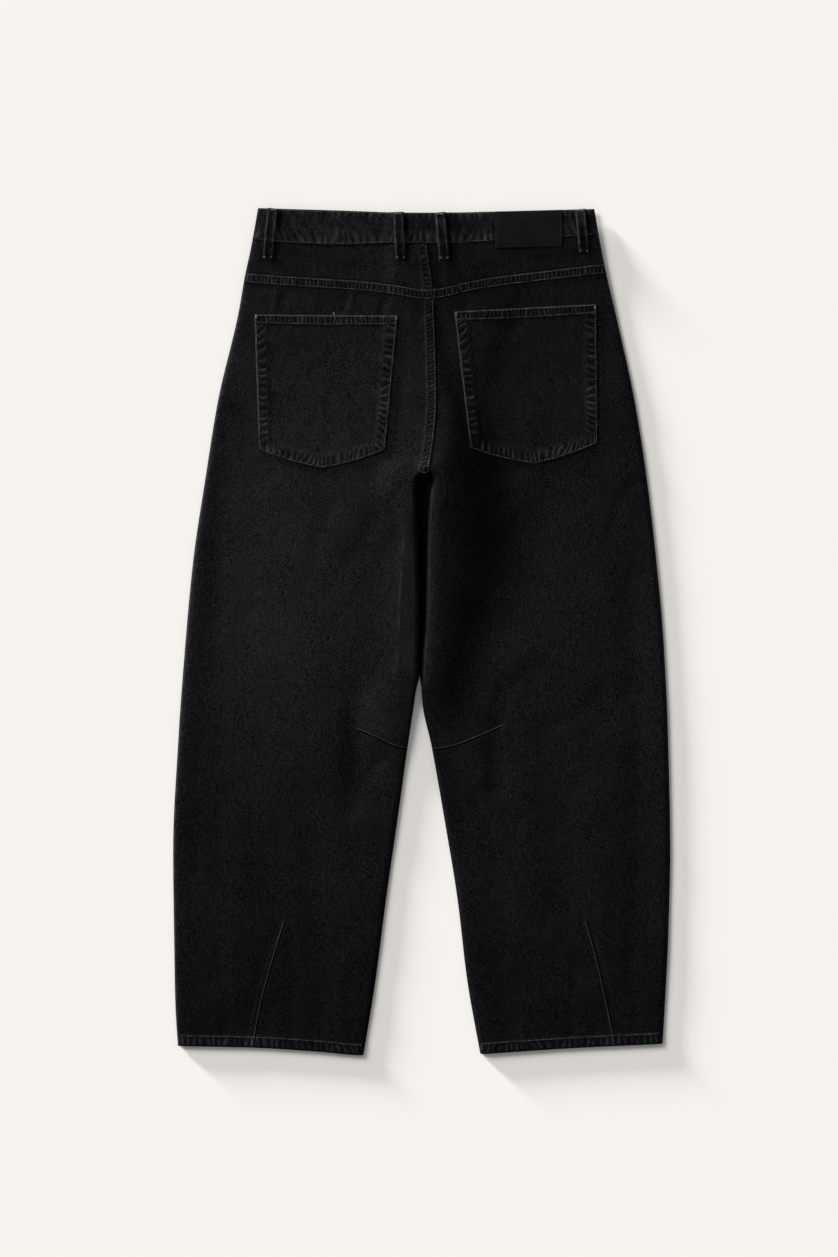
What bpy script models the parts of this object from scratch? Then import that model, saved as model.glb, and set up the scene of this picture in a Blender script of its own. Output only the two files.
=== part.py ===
"""Barrel leg trousers in black denim, laid flat on their front with the back uppermost.

Lengths are in millimetres until MM turns them into metres. X runs to the wearer's right, Y towards the
waist and Z up from the surface that the trousers lie on. "Drop" is the distance below the waist's top line.
Left and right are the wearer's own.
"""

import math

import bmesh
import bpy
from mathutils import Vector

MM = 0.001

# Driving sizes of the garment
DENIM = 1.2  # one ply of cloth
WAISTBAND_PLY = 2.0  # two plies of denim with interfacing
SEAM_GAP = 0.3  # between pieces that are sewn together
WAIST_DEPTH = 40.0  # height of the waistband
CROTCH_DROP = 300.0
MIDDLE_DROP = 487.65  # the drop at half the garment's length
MIDDLE_X = 0.2  # the middle of the widest stretch, from the centre line

# Heights above the surface
HIP_HEIGHT = 5.4  # outer face of the back where the cloth lies plain
YOKE_HEIGHT = 6.1
LAYERS = 6.2  # where the back rises above this, the front rises with it, close below
WAIST_HEIGHT = 7.4
WAIST_OVERLAP_RISE = 2.2  # over the lapped and buttoned ends of the front waistband
WAIST_LIFT = 3.0  # the button holds the front of the waist this far off the surface
LIFT_ENDS = (66.0, 190.0)  # drops between which the front comes down to the surface

# Seam relief
FELL_WIDTH = 11.5  # a flat-felled seam, from its folded edge to its second row of stitches
FELL_RISE = 0.9
HEM_WIDTH = 13.5
HEM_RISE = 0.7
DART_DEPTH = 0.7
DART_HALF_WIDTH = 3.0
EDGE_RADIUS = 7.0  # how the cloth turns down to a side seam

# Outer edges: name, drop, left edge and right edge from the centre line
OUTER_EDGE = (
    ("waist", 0.0, -188.0, 198.5),
    ("waist_seam", 40.0, -195.0, 205.5),
    ("yoke_seam", 80.0, -203.5, 213.5),
    ("upper_hip", 120.0, -210.5, 223.0),
    ("hip", 220.0, -234.0, 245.0),
    ("crotch", 312.0, -249.0, 259.5),
    ("thigh", 405.0, -262.8, 270.3),
    ("low_thigh", 500.0, -271.8, 278.8),
    ("knee", 612.0, -280.0, 284.0),
    ("widest", 740.0, -286.0, 286.4),
    ("calf", 842.0, -284.8, 284.0),
    ("shin", 911.0, -283.6, 280.6),
    ("hem", 978.0, -279.6, 276.6),
)

# The centre back seam, where both backs meet: name, drop, distance from the centre line
CENTRE_SEAM = (
    ("waist", 0.0, 2.0),
    ("waist_seam", 40.0, 5.7),
    ("yoke_seam", 93.0, 12.8),
    ("seat", 170.0, 16.3),
    ("low_seat", 222.0, 17.0),
    ("fork", 268.0, 13.6),
    ("crotch", CROTCH_DROP, 8.0),
)

# Inside legs: name, drop, left edge and right edge from the centre line
INSIDE_LEG = (
    ("crotch", CROTCH_DROP, 8.0, 8.0),
    ("spread", 311.0, -4.8, 13.0),
    ("upper_thigh", 326.0, -6.2, 9.8),
    ("thigh", 360.0, -5.2, 6.9),
    ("low_thigh", 413.0, -4.0, 5.2),
    ("closing", 466.0, -3.0, 4.4),
    ("parting", 535.0, -4.0, -0.2),
    ("above_knee", 566.0, -8.0, 0.8),
    ("knee", 621.0, -16.2, 12.0),
    ("widest", 704.0, -27.8, 26.6),
    ("calf", 796.0, -41.0, 41.6),
    ("shin", 888.0, -52.9, 52.6),
    ("hem", 978.0, -67.4, 68.6),
)

# The front's inner edges, which meet between the legs down to where they part
FRONT_INNER_EDGE = (
    ("waist", 0.0, 5.0),
    ("crotch", 300.0, 4.0),
    ("thigh", 360.0, 1.0),
    ("closing", 466.0, 0.7),
    ("parting", 535.0, -2.1),
)

# How far the cloth takes to turn down at the inside leg
INNER_RADIUS = (
    ("seat", 0.0, 5.0),
    ("crotch", 300.0, 5.0),
    ("parting", 535.0, 5.0),
    ("knee", 700.0, 7.0),
    ("hem", 978.0, EDGE_RADIUS),
)

# Seams that run across the body: distance from the centre line, drop
WAIST_TOP = ((-188.0, 0.4), (-100.0, 3.0), (0.0, 6.0), (100.0, 4.0), (199.0, 1.4))
WAIST_SEAM = (
    (-196.0, 36.5),
    (-165.0, 40.0),
    (-90.0, 42.8),
    (-36.0, 41.0),
    (11.0, 41.5),
    (85.0, 38.5),
    (163.0, 34.0),
    (206.0, 31.0),
)
YOKE_SEAM = (
    (-206.0, 75.0),
    (-135.0, 80.0),
    (-71.0, 84.2),
    (-33.0, 88.6),
    (5.0, 94.0),
    (20.0, 92.8),
    (57.0, 84.2),
    (89.0, 79.0),
    (130.0, 74.0),
    (214.0, 64.0),
)
KNEE_LINE = (
    (-290.0, 601.0),
    (-74.4, 601.0),
    (-55.0, 608.0),
    (-25.0, 621.0),
    (-16.0, 622.4),
    (13.0, 623.4),
    (35.5, 619.7),
    (53.0, 613.6),
    (78.0, 603.4),
    (96.0, 596.6),
    (290.0, 596.6),
)
HEM_LINE = (
    (-282.0, 964.3),
    (-198.0, 966.0),
    (-121.0, 970.6),
    (-66.0, 975.0),
    (68.0, 973.6),
    (96.0, 971.8),
    (173.0, 966.8),
    (279.0, 961.7),
)

# Hem darts: drop, then the distance from the centre line on the left and right leg
HEM_DART = (
    ("tip", 817.0, -155.9, 188.8),
    ("upper", 862.0, -169.6, 201.4),
    ("lower", 908.0, -182.2, 212.0),
    ("hem", 966.0, -193.9, 224.3),
)
KNEE_DART_TIPS = (-74.4, 96.0)

# Folds: name, path of (x, drop) points, half width, rise. A trough has a negative rise.
FOLDS = (
    ("left_inner_thigh", ((-22, 318), (-27, 400), (-30, 508), (-37, 600)), 24.0, 4.6),
    ("left_thigh_dome", ((-72, 270), (-92, 400), (-104, 520), (-110, 590)), 82.0, 3.6),
    ("left_outer_trough", ((-226, 240), (-238, 400), (-250, 560), (-258, 760)), 15.0, -1.5),
    ("left_crotch_fold", ((-14, 322), (-52, 362), (-80, 404)), 12.0, -1.6),
    ("left_knee_trough", ((-88, 560), (-88, 610), (-92, 690)), 13.0, -1.9),
    ("left_calf_wave", ((-208, 700), (-214, 800), (-212, 900)), 26.0, 1.4),
    ("left_shin_trough", ((-128, 700), (-120, 800), (-112, 930)), 20.0, -1.1),
    ("right_inner_thigh", ((16, 300), (14, 380), (12, 450), (8, 530)), 38.0, 8.2),
    ("right_seat_trough", ((26, 140), (42, 190), (58, 225), (80, 262), (96, 296)), 24.0, -1.3),
    ("right_thigh_trough", ((98, 306), (112, 360), (94, 430), (60, 510), (38, 585)), 27.0, -1.8),
    ("right_thigh_crest", ((186, 240), (190, 380), (170, 520)), 50.0, 2.2),
    ("right_knee_fold", ((137, 525), (96, 556), (82, 604), (82, 668)), 13.0, -1.8),
    ("right_knee_crest", ((116, 590), (120, 700), (124, 790)), 24.0, 1.2),
    ("right_calf_wave", ((196, 690), (206, 800), (200, 900)), 28.0, 1.3),
    ("right_outer_trough", ((240, 430), (250, 600), (248, 800), (240, 900)), 17.0, -1.4),
    ("right_shin_trough", ((80, 760), (94, 850), (104, 940)), 19.0, -1.1),
)

# Back pockets: corners as (x, drop)
POCKETS = {
    "left": {
        "top_outer": (-192.3, 122.7),
        "top_inner": (-26.8, 124.2),
        "low_inner": (-41.5, 279.0),
        "point": (-113.4, 300.2),
        "low_outer": (-186.8, 279.0),
    },
    "right": {
        "top_inner": (37.6, 119.3),
        "top_outer": (201.6, 110.8),
        "low_outer": (202.6, 271.1),
        "point": (130.1, 295.2),
        "low_inner": (56.0, 277.0),
    },
}
POCKET_PLY = 1.1
POCKET_HEM = 10.5
POCKET_TURNING = 13.0  # width of the turned edge inside the pocket
POCKET_EDGE_RISE = 0.5

# Belt loops on the back: name, x and drop of the top, x and drop of the foot
BACK_LOOPS = (
    ("loop_back_side_left", -170.9, 0.9, -176.9, 59.0),
    ("loop_back_mid_left", -26.7, 5.4, -24.0, 59.8),
    ("loop_back_mid_right", 21.2, 5.8, 26.2, 60.2),
    ("loop_back_side_right", 182.3, 2.0, 187.0, 52.0),
)
FRONT_LOOPS = (("loop_front_left", -92.0), ("loop_front_right", 100.0))
LOOP_WIDTH = 12.0
LOOP_PLY = 1.7
LOOP_BOW = 2.3  # slack between a loop and the waistband
LOOP_FRONT_LENGTH = 54.0

# Label patch on the waistband
LABEL = {"left": 85.0, "right": 161.8, "top": 4.6, "bottom": 47.0}
LABEL_PLY = 1.1

# Front of the waist
FRONT_DIP = 14.0  # the front waist is cut this much lower in the middle
FRONT_SIDE_DROP = 1.5
FRONT_HEM_RAISE = 1.5
LAP_X = (-22.0, 22.0)  # where the left end of the waistband lies over the right one
BUTTON_RADIUS = 8.5
BUTTON_HEAD = 1.5
BUTTON_SHANK_RADIUS = 3.2
BUTTON_HOLD = 0.3

# Mesh spacing
ROUND_STEPS = 3  # steps round a turned edge
OUTER_COLUMNS = 5
INNER_COLUMNS = 8
CROTCH_ROWS = (0.396, 0.4045, 0.4145, 0.427, 0.445)  # shares of the way from yoke seam to knee line


def smooth_step(start, end, value):
    t = min(1.0, max(0.0, (value - start) / (end - start)))
    return t * t * (3 - 2 * t)


def through(rows):
    """A smooth curve through (place, value) rows, as a function of place."""
    places = [row[0] for row in rows]
    values = [row[1] for row in rows]
    steps = [
        (values[i + 1] - values[i]) / (places[i + 1] - places[i])
        for i in range(len(rows) - 1)
    ]
    slopes = [steps[0]]
    slopes += [
        0.0 if before * after <= 0 else 2 * before * after / (before + after)
        for before, after in zip(steps, steps[1:])
    ]
    slopes.append(steps[-1])

    def value_at(place):
        if place <= places[0]:
            return values[0] + slopes[0] * (place - places[0])
        if place >= places[-1]:
            return values[-1] + slopes[-1] * (place - places[-1])
        i = max(k for k in range(len(places) - 1) if places[k] <= place)
        width = places[i + 1] - places[i]
        t = (place - places[i]) / width
        return (
            values[i] * (1 + 2 * t) * (1 - t) ** 2
            + values[i + 1] * t * t * (3 - 2 * t)
            + width * slopes[i] * t * (1 - t) ** 2
            + width * slopes[i + 1] * t * t * (t - 1)
        )

    return value_at


def column(table, drop_at, value_at):
    """One column of a named table as a smooth curve of another."""
    return through([(row[drop_at], row[value_at]) for row in table])


OUTER = {"left": column(OUTER_EDGE, 1, 2), "right": column(OUTER_EDGE, 1, 3)}
centre_seam = column(CENTRE_SEAM, 1, 2)
INSIDE = {"left": column(INSIDE_LEG, 1, 2), "right": column(INSIDE_LEG, 1, 3)}
INNER = {
    side: lambda drop, leg=leg: centre_seam(drop) if drop < CROTCH_DROP else leg(drop)
    for side, leg in INSIDE.items()
}
INNER_TURN = column(INNER_RADIUS, 1, 2)
FRONT_INNER = column(FRONT_INNER_EDGE, 1, 2)
DART = {"left": column(HEM_DART, 1, 2), "right": column(HEM_DART, 1, 3)}
waist_top = through(WAIST_TOP)
waist_seam = through(WAIST_SEAM)
yoke_seam = through(YOKE_SEAM)
knee_line = through(KNEE_LINE)
hem_line = through(HEM_LINE)


def distance_to_path(x, drop, path):
    nearest = math.inf
    for (x0, d0), (x1, d1) in zip(path, path[1:]):
        run = (x1 - x0, d1 - d0)
        t = ((x - x0) * run[0] + (drop - d0) * run[1]) / (run[0] ** 2 + run[1] ** 2)
        t = min(1.0, max(0.0, t))
        nearest = min(nearest, math.hypot(x - x0 - t * run[0], drop - d0 - t * run[1]))
    return nearest


def folds_at(x, drop):
    return sum(
        rise * math.exp(-((distance_to_path(x, drop, path) / half_width) ** 2))
        for _, path, half_width, rise in FOLDS
    )


def lift_at(x, drop):
    """Height of the front's outer face: the button holds it up, and so do the largest folds."""
    waist = WAIST_LIFT * (1 - smooth_step(*LIFT_ENDS, drop))
    if drop < LIFT_ENDS[0]:
        return waist
    fold = max(0.0, HIP_HEIGHT + folds_at(x, drop) * smooth_step(60, 150, drop) - LAYERS)
    inside_leg = max(INNER["left"](drop) - x, x - INNER["right"](drop))
    inside_leg = min(inside_leg, x - OUTER["left"](drop), OUTER["right"](drop) - x)
    apart = smooth_step(CROTCH_DROP - 2, CROTCH_DROP + 16, drop)
    return max(waist, fold * (1 + (smooth_step(7.0, 23.0, inside_leg) - 1) * apart))


def seam_height(x, drop):
    """Just above the front pieces, where the back comes down on them at its edges."""
    below_waistband = smooth_step(1, 16, drop - front_seam(x))
    waist = WAISTBAND_PLY - DENIM + WAIST_OVERLAP_RISE * lap_share(x)
    return lift_at(x, drop) + DENIM + SEAM_GAP + waist * (1 - below_waistband)


def back_height(x, drop):
    """Height of the back's outer face, away from its turned edges."""
    plain = HIP_HEIGHT + (YOKE_HEIGHT - HIP_HEIGHT) * (1 - smooth_step(46, 140, drop))
    settled = plain + folds_at(x, drop) * smooth_step(60, 150, drop)
    settled += WAIST_OVERLAP_RISE * lap_share(x) * (1 - smooth_step(60, 140, drop))
    return max(settled, seam_height(x, drop) + DENIM + SEAM_GAP)


def lap_share(x):
    """1 over the lapped ends of the front waistband, falling to 0 beside them."""
    return smooth_step(LAP_X[0] - 24, LAP_X[0] - 4, x) * (
        1 - smooth_step(LAP_X[1] + 4, LAP_X[1] + 24, x)
    )


def waistband_height(x):
    return WAIST_HEIGHT + WAIST_OVERLAP_RISE * lap_share(x)


def band(distance, width, rise):
    """A raised strip from distance 0 to width, with a soft far edge."""
    return rise * (1 - smooth_step(width - 1.2, width, distance))


def back_relief(side, x, drop):
    """What the seams add to the outer face of a leg's back panel."""
    relief = band(drop - yoke_seam(x), FELL_WIDTH, FELL_RISE)
    if side == "left" and drop < CROTCH_DROP:
        from_seam = INNER["left"](drop) - x
        relief = max(relief, band(from_seam, FELL_WIDTH, FELL_RISE))
    relief = max(relief, band(hem_line(x) - drop, HEM_WIDTH, HEM_RISE))
    from_dart = abs(x - DART[side](drop))
    if drop > HEM_DART[0][1] and from_dart < DART_HALF_WIDTH:
        relief -= DART_DEPTH * (1 - from_dart / DART_HALF_WIDTH)
    inside_tip = x - KNEE_DART_TIPS[0] if side == "left" else KNEE_DART_TIPS[1] - x
    from_knee = abs(drop - knee_line(x))
    if inside_tip > 0 and from_knee < DART_HALF_WIDTH:
        relief -= DART_DEPTH * (1 - from_knee / DART_HALF_WIDTH)
    return relief


def place(x, drop, z):
    return Vector(((x - MIDDLE_X) * MM, (MIDDLE_DROP - drop) * MM, z * MM))


def material(name, colour, roughness, metallic=0.0):
    made = bpy.data.materials.get(name) or bpy.data.materials.new(name)
    made.use_nodes = True
    shader = made.node_tree.nodes["Principled BSDF"]
    shader.inputs["Base Color"].default_value = (*colour, 1.0)
    shader.inputs["Roughness"].default_value = roughness
    shader.inputs["Metallic"].default_value = metallic
    return made


def denim():
    return material("black_denim", (0.011, 0.011, 0.013), 0.85)


def label_stock():
    return material("label_patch", (0.012, 0.012, 0.011), 0.6)


def button_metal():
    return material("button_metal", (0.05, 0.05, 0.055), 0.4, 1.0)


def solid(name, outer, inner, finish):
    """A closed wall between two grids of points, the outer one facing out."""
    rows, columns = len(outer), len(outer[0])
    mesh = bmesh.new()
    out = [[mesh.verts.new(p) for p in row] for row in outer]
    back = [[mesh.verts.new(p) for p in row] for row in inner]
    for r in range(rows - 1):
        for c in range(columns - 1):
            mesh.faces.new((out[r][c], out[r + 1][c], out[r + 1][c + 1], out[r][c + 1]))
            mesh.faces.new(
                (back[r][c], back[r][c + 1], back[r + 1][c + 1], back[r + 1][c])
            )
    for r in range(rows - 1):
        for c, (a, b) in ((0, (r, r + 1)), (columns - 1, (r + 1, r))):
            mesh.faces.new((out[a][c], back[a][c], back[b][c], out[b][c]))
    for c in range(columns - 1):
        for r, (a, b) in ((0, (c + 1, c)), (rows - 1, (c, c + 1))):
            mesh.faces.new((out[r][a], back[r][a], back[r][b], out[r][b]))
    bmesh.ops.recalc_face_normals(mesh, faces=mesh.faces)
    data = bpy.data.meshes.new(name)
    mesh.to_mesh(data)
    mesh.free()
    data.shade_smooth()
    data.set_sharp_from_angle(angle=math.radians(40))
    data.materials.append(finish)
    made = bpy.data.objects.new(name, data)
    bpy.context.scene.collection.objects.link(made)
    return made


def inward(grid, thickness, lowest):
    """The grid moved in by the wall's thickness, but never below lowest(point)."""
    rows, columns = len(grid), len(grid[0])
    moved = []
    for r in range(rows):
        line = []
        for c in range(columns):
            across = grid[r][min(c + 1, columns - 1)] - grid[r][max(c - 1, 0)]
            down = grid[min(r + 1, rows - 1)][c] - grid[max(r - 1, 0)][c]
            normal = down.cross(across).normalized()
            point = grid[r][c] - normal * thickness * MM
            if r in (0, rows - 1):
                point.y = grid[r][c].y
            point.z = max(point.z, lowest(point) * MM)
            line.append(point)
        moved.append(line)
    return moved


def height_below(point):
    return seam_height(point.x / MM + MIDDLE_X, MIDDLE_DROP - point.y / MM)


def turned(radius, steps=ROUND_STEPS):
    """Distances from a folded edge and the share of the full height reached there."""
    angles = [math.pi / 2 * k / steps for k in range(steps + 1)]
    return [(radius * (1 - math.cos(a)), math.sin(a)) for a in angles]


def spread(start, end, count):
    """count places inside an interval, evenly apart."""
    return [start + (end - start) * (k + 1) / (count + 1) for k in range(count)]


def ends_of_row(side, row_drop, outer, inner):
    """Where a row that follows row_drop(x) meets the panel's two edges."""
    outer_x, inner_x = outer(row_drop(0.0)), inner(row_drop(0.0))
    for _ in range(6):
        outer_x = outer(row_drop(outer_x))
        inner_x = inner(row_drop(inner_x))
    toward = 1 if side == "left" else -1
    return outer_x, inner_x - toward * SEAM_GAP / 2, toward


def back_row(side, row_drop):
    """One row of a leg's back panel: points with relief, and the plain ones below it."""
    outer_x, inner_x, toward = ends_of_row(side, row_drop, OUTER[side], INNER[side])
    width = abs(inner_x - outer_x)
    inner_drop = row_drop(inner_x)
    open_share = smooth_step(CROTCH_DROP - 4, CROTCH_DROP + 12, inner_drop)
    inner_turn = INNER_TURN(inner_drop)
    outer_turn = turned(EDGE_RADIUS)
    columns = list(outer_turn)
    dart_x = DART[side](max(row_drop(DART[side](900.0)), HEM_DART[0][1]))
    tip_share = {"left": 0.536, "right": 0.400}[side]
    dart_drop = row_drop(dart_x)
    if dart_drop < HEM_DART[0][1]:
        dart_from = tip_share * width
    else:
        dart_from = abs(DART[side](dart_drop) - outer_x)
    for d in spread(EDGE_RADIUS, dart_from - DART_HALF_WIDTH, OUTER_COLUMNS):
        columns.append((d, 1.0))
    for d in (dart_from - DART_HALF_WIDTH, dart_from, dart_from + DART_HALF_WIDTH):
        columns.append((d, 1.0))
    for d in spread(dart_from + DART_HALF_WIDTH, width - inner_turn, INNER_COLUMNS):
        columns.append((d, 1.0))
    felled = (FELL_WIDTH, FELL_WIDTH - 1.2, 4.0, 0.0)
    for (d, share), seam_d in zip(reversed(turned(inner_turn)), felled):
        from_inner = seam_d + (d - seam_d) * open_share
        columns.append((width - from_inner, 1 + (share - 1) * open_share))
    raised, plain = [], []
    for d, share in columns:
        x = outer_x + toward * d
        drop = row_drop(x)
        low = seam_height(x, drop)
        z = low + (back_height(x, drop) - low) * share
        plain.append(place(x, drop, z))
        raised.append(place(x, drop, z + back_relief(side, x, drop) * share))
    return (raised, plain) if side == "left" else (raised[::-1], plain[::-1])


def between(upper, lower, share, shift=0.0):
    """A line part of the way from one cross seam to the next."""
    return lambda x: upper(x) + (lower(x) - upper(x)) * share + shift


def back_rows():
    """The rows of a back panel, from the yoke seam over the knee darts to the hem."""
    yoke_edge = between(yoke_seam, yoke_seam, 0.0, SEAM_GAP)
    rows = [yoke_edge]
    rows += [between(yoke_seam, yoke_seam, 0.0, d) for d in (FELL_WIDTH - 1.2, FELL_WIDTH)]
    rows += [between(yoke_seam, knee_line, 0.055 + 0.325 * k / 8) for k in range(9)]
    rows += [between(yoke_seam, knee_line, s) for s in CROTCH_ROWS]
    rows += [between(yoke_seam, knee_line, 0.47 + 0.53 * k / 12) for k in range(12)]
    rows += [
        between(knee_line, knee_line, 0.0, d)
        for d in (-DART_HALF_WIDTH, 0.0, DART_HALF_WIDTH)
    ]
    rows += [between(knee_line, hem_line, k / 13) for k in range(1, 13)]
    rows += [between(hem_line, hem_line, 0.0, -d) for d in (HEM_WIDTH, HEM_WIDTH - 1.2)]
    rows += [between(hem_line, hem_line, 0.0, -d) for d in (6.0, 0.8)]
    rows.append(hem_line)
    return rows


def make_back(side):
    raised, plain = zip(*(back_row(side, row) for row in back_rows()))
    raised = [list(row) for row in raised]
    for point in raised[-1]:
        point.z -= 0.5 * MM
    inner = inward(plain, DENIM, height_below)
    return solid(f"back_{side}", raised, inner, denim())


def make_yoke(side):
    """The yoke, from the waistband to the felled yoke seam."""
    raised, plain = [], []
    for share in [k / 5 for k in range(6)]:
        shift = SEAM_GAP / 2 * (1 - 2 * share)
        row_drop = between(waist_seam, yoke_seam, share, shift)
        outer_x, inner_x, toward = ends_of_row(side, row_drop, OUTER[side], INNER[side])
        width = abs(inner_x - outer_x)
        columns = turned(EDGE_RADIUS)
        columns += [(d, 1.0) for d in spread(EDGE_RADIUS, width - FELL_WIDTH, 9)]
        columns += [(width - d, 1.0) for d in (FELL_WIDTH, FELL_WIDTH - 1.2, 5.0, 0.0)]
        line, base = [], []
        for d, part in columns:
            x = outer_x + toward * d
            drop = row_drop(x)
            low = seam_height(x, drop)
            z = low + (back_height(x, drop) - low) * part
            lap = band(width - d, FELL_WIDTH, FELL_RISE) if side == "left" else 0.0
            base.append(place(x, drop, z))
            line.append(place(x, drop, z + lap))
        raised.append(line if side == "left" else line[::-1])
        plain.append(base if side == "left" else base[::-1])
    inner = inward(plain, DENIM, height_below)
    return solid(f"yoke_{side}", raised, inner, denim())


def make_waistband_back():
    """The back of the waistband, from one side seam to the other."""
    grid = []
    edge_low = WAIST_LIFT + WAISTBAND_PLY + SEAM_GAP
    for share in (0.0, 0.02, 0.34, 0.66, 0.98, 1.0):
        row_drop = between(waist_top, waist_seam, share, -SEAM_GAP / 2 * share)
        left_x = OUTER["left"](row_drop(-190.0))
        right_x = OUTER["right"](row_drop(200.0))
        turn = turned(EDGE_RADIUS)
        columns = [(left_x + d, part) for d, part in turn]
        columns += [
            (x, 1.0) for x in spread(left_x + EDGE_RADIUS, right_x - EDGE_RADIUS, 26)
        ]
        columns += [(right_x - d, part) for d, part in reversed(turn)]
        soft_edge = 0.5 if share in (0.0, 1.0) else 0.0
        grid.append(
            [
                place(
                    x,
                    row_drop(x),
                    edge_low + (waistband_height(x) - soft_edge - edge_low) * part,
                )
                for x, part in columns
            ]
        )
    inner = inward(grid, WAISTBAND_PLY - 0.5, lambda p: edge_low)
    for row in inner:
        for point in row:
            low = (waistband_height(point.x / MM + MIDDLE_X) - WAISTBAND_PLY) * MM
            point.z = min(point.z, max(low, edge_low * MM))
    return solid("waistband_back", grid, inner, denim())


def front_top(x):
    """The top edge of the front waistband."""
    across = min(1.0, abs(x) / 190.0)
    return waist_top(x) + FRONT_SIDE_DROP + FRONT_DIP * (1 - across**2)


def front_seam(x):
    """Where the front waistband meets the front panels."""
    return front_top(x) + WAIST_DEPTH - 4.0 * min(1.0, abs(x) / 190.0)


def front_inner(side):
    """The centre front seam, and the inside leg below where the legs part."""
    parting = FRONT_INNER_EDGE[-1][1]

    def edge(drop):
        return FRONT_INNER(drop) if drop < parting else INNER[side](drop) + step * (
            1 - smooth_step(parting, parting + 20, drop)
        )

    step = FRONT_INNER(parting) - INNER[side](parting)
    return edge


def plate(name, rows, thickness, underside, finish):
    """A flat piece whose outer face looks down: rows of (x, drop) points."""
    under = [[place(x, drop, underside(x, drop)) for x, drop in row] for row in rows]
    over = [[p + Vector((0, 0, thickness * MM)) for p in row] for row in under]
    for row in under:
        for point in (row[0], row[-1]):
            point.z += thickness / 3 * MM
    return solid(name, over, under, finish)


def make_front(side):
    rows = []
    shares = [0.0, 0.02, 0.04, 0.06, 0.08, 0.10, 0.12, 0.14, 0.16, 0.2, 0.24]
    shares += [0.264, 0.270, 0.276, 0.282, 0.289, 0.298, 0.318]
    shares += [0.318 + 0.682 * k / 12 for k in range(1, 13)]
    for share in shares:
        hem_edge = between(hem_line, hem_line, 0.0, -FRONT_HEM_RAISE)
        row_drop = between(front_seam, hem_edge, share, 2 * SEAM_GAP * (1 - share))
        outer_x, inner_x, toward = ends_of_row(
            side, row_drop, OUTER[side], front_inner(side)
        )
        width = abs(inner_x - outer_x)
        places = [0.0, 1.0, *spread(1.0, width - 66, 6)]
        places += [width - d for d in (66, 48, 34, 25, 19, 14, 9, 5, 1, 0)]
        row = [(outer_x + toward * d, row_drop(outer_x + toward * d)) for d in places]
        rows.append(row if side == "left" else row[::-1])
    return plate(f"front_{side}", rows, DENIM, lift_at, denim())


def make_waistband_front(side):
    """One front end of the waistband. The left end laps over the right one."""
    lap_end = LAP_X[1] if side == "left" else LAP_X[0]
    side_x = OUTER[side](20.0)

    def underside(x, _):
        if side == "left":
            return WAIST_LIFT
        clear = WAISTBAND_PLY + SEAM_GAP
        return WAIST_LIFT + clear * (1 - smooth_step(LAP_X[1] + 1, LAP_X[1] + 12, x))

    rows = []
    for share in (0.0, 0.5, 1.0):
        row_drop = between(front_top, front_seam, share)
        edge_x = OUTER[side](row_drop(side_x))
        toward = 1 if side == "left" else -1
        length = abs(lap_end - edge_x)
        near_lap = [length - d for d in (56, 50, 44, 38, 32, 26, 20, 10)]
        places = [0.0, 1.0, *spread(1.0, length - 56, 8), *near_lap, length - 1, length]
        row = [(edge_x + toward * d, row_drop(edge_x + toward * d)) for d in places]
        rows.append(row if side == "left" else row[::-1])
    return plate(f"waistband_front_{side}", rows, WAISTBAND_PLY - 0.2, underside, denim())


def make_pocket(side):
    """A patch pocket that lies on the back panel, with its turned edges raised."""
    corners = POCKETS[side]
    low_x, high_x = ("outer", "inner") if side == "left" else ("inner", "outer")
    top = through([corners[f"top_{low_x}"], corners[f"top_{high_x}"]])
    low_left, point = corners[f"low_{low_x}"], corners["point"]
    low_right = corners[f"low_{high_x}"]

    def bottom_drop(x):
        start, end = (low_left, point) if x < point[0] else (point, low_right)
        t = (x - start[0]) / (end[0] - start[0])
        bow = 2.2 * math.sin(math.pi * min(1.0, max(0.0, t)))
        return start[1] + (end[1] - start[1]) * t + bow

    middle_share = (point[0] - low_left[0]) / (low_right[0] - low_left[0])
    turning = POCKET_TURNING / 150.0
    across = [0.0, 0.012, turning, turning + 0.02]
    across += spread(turning + 0.02, middle_share, 3) + [middle_share]
    across += spread(middle_share, 1 - turning - 0.02, 3)
    across += [1 - turning - 0.02, 1 - turning, 0.988, 1.0]
    hem_share = POCKET_HEM / 155.0
    down = [0.0, 0.01, hem_share, hem_share + 0.012]
    down += spread(hem_share + 0.012, 1 - turning - 0.02, 7)
    down += [1 - turning - 0.02, 1 - turning, 0.99, 1.0]
    upper, lower = [], []
    for v in down:
        row_up, row_down = [], []
        for u in across:
            top_x = corners[f"top_{low_x}"][0]
            top_x += u * (corners[f"top_{high_x}"][0] - top_x)
            low_place = low_left[0] + u * (low_right[0] - low_left[0])
            x = top_x + (low_place - top_x) * v
            drop = top(top_x) + (bottom_drop(low_place) - top(top_x)) * v
            edge = min(u, 1 - u) * 150.0
            hem_rise = band(v * 155.0, POCKET_HEM + 1.5, POCKET_EDGE_RISE)
            side_rise = band(edge, POCKET_TURNING + 2, POCKET_EDGE_RISE)
            low_rise = band((1 - v) * 155.0, POCKET_TURNING + 2, POCKET_EDGE_RISE)
            rise = max(hem_rise, side_rise, low_rise)
            rounded = 0.35 if u in (0.0, 1.0) or v in (0.0, 1.0) else 0.0
            under = back_height(x, drop) + back_relief(side, x, drop) + SEAM_GAP + 0.25
            row_down.append(place(x, drop, under))
            row_up.append(place(x, drop, under + POCKET_PLY + rise - rounded))
        upper.append(row_up)
        lower.append(row_down)
    return solid(f"back_pocket_{side}", upper, lower, denim())


def outer_face(x, drop):
    """The outer face of whatever lies uppermost at the waist."""
    over = waistband_height(x)
    under = back_height(x, drop)
    return under + (over - under) * (1 - smooth_step(-1, 5, drop - waist_seam(x)))


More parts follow.
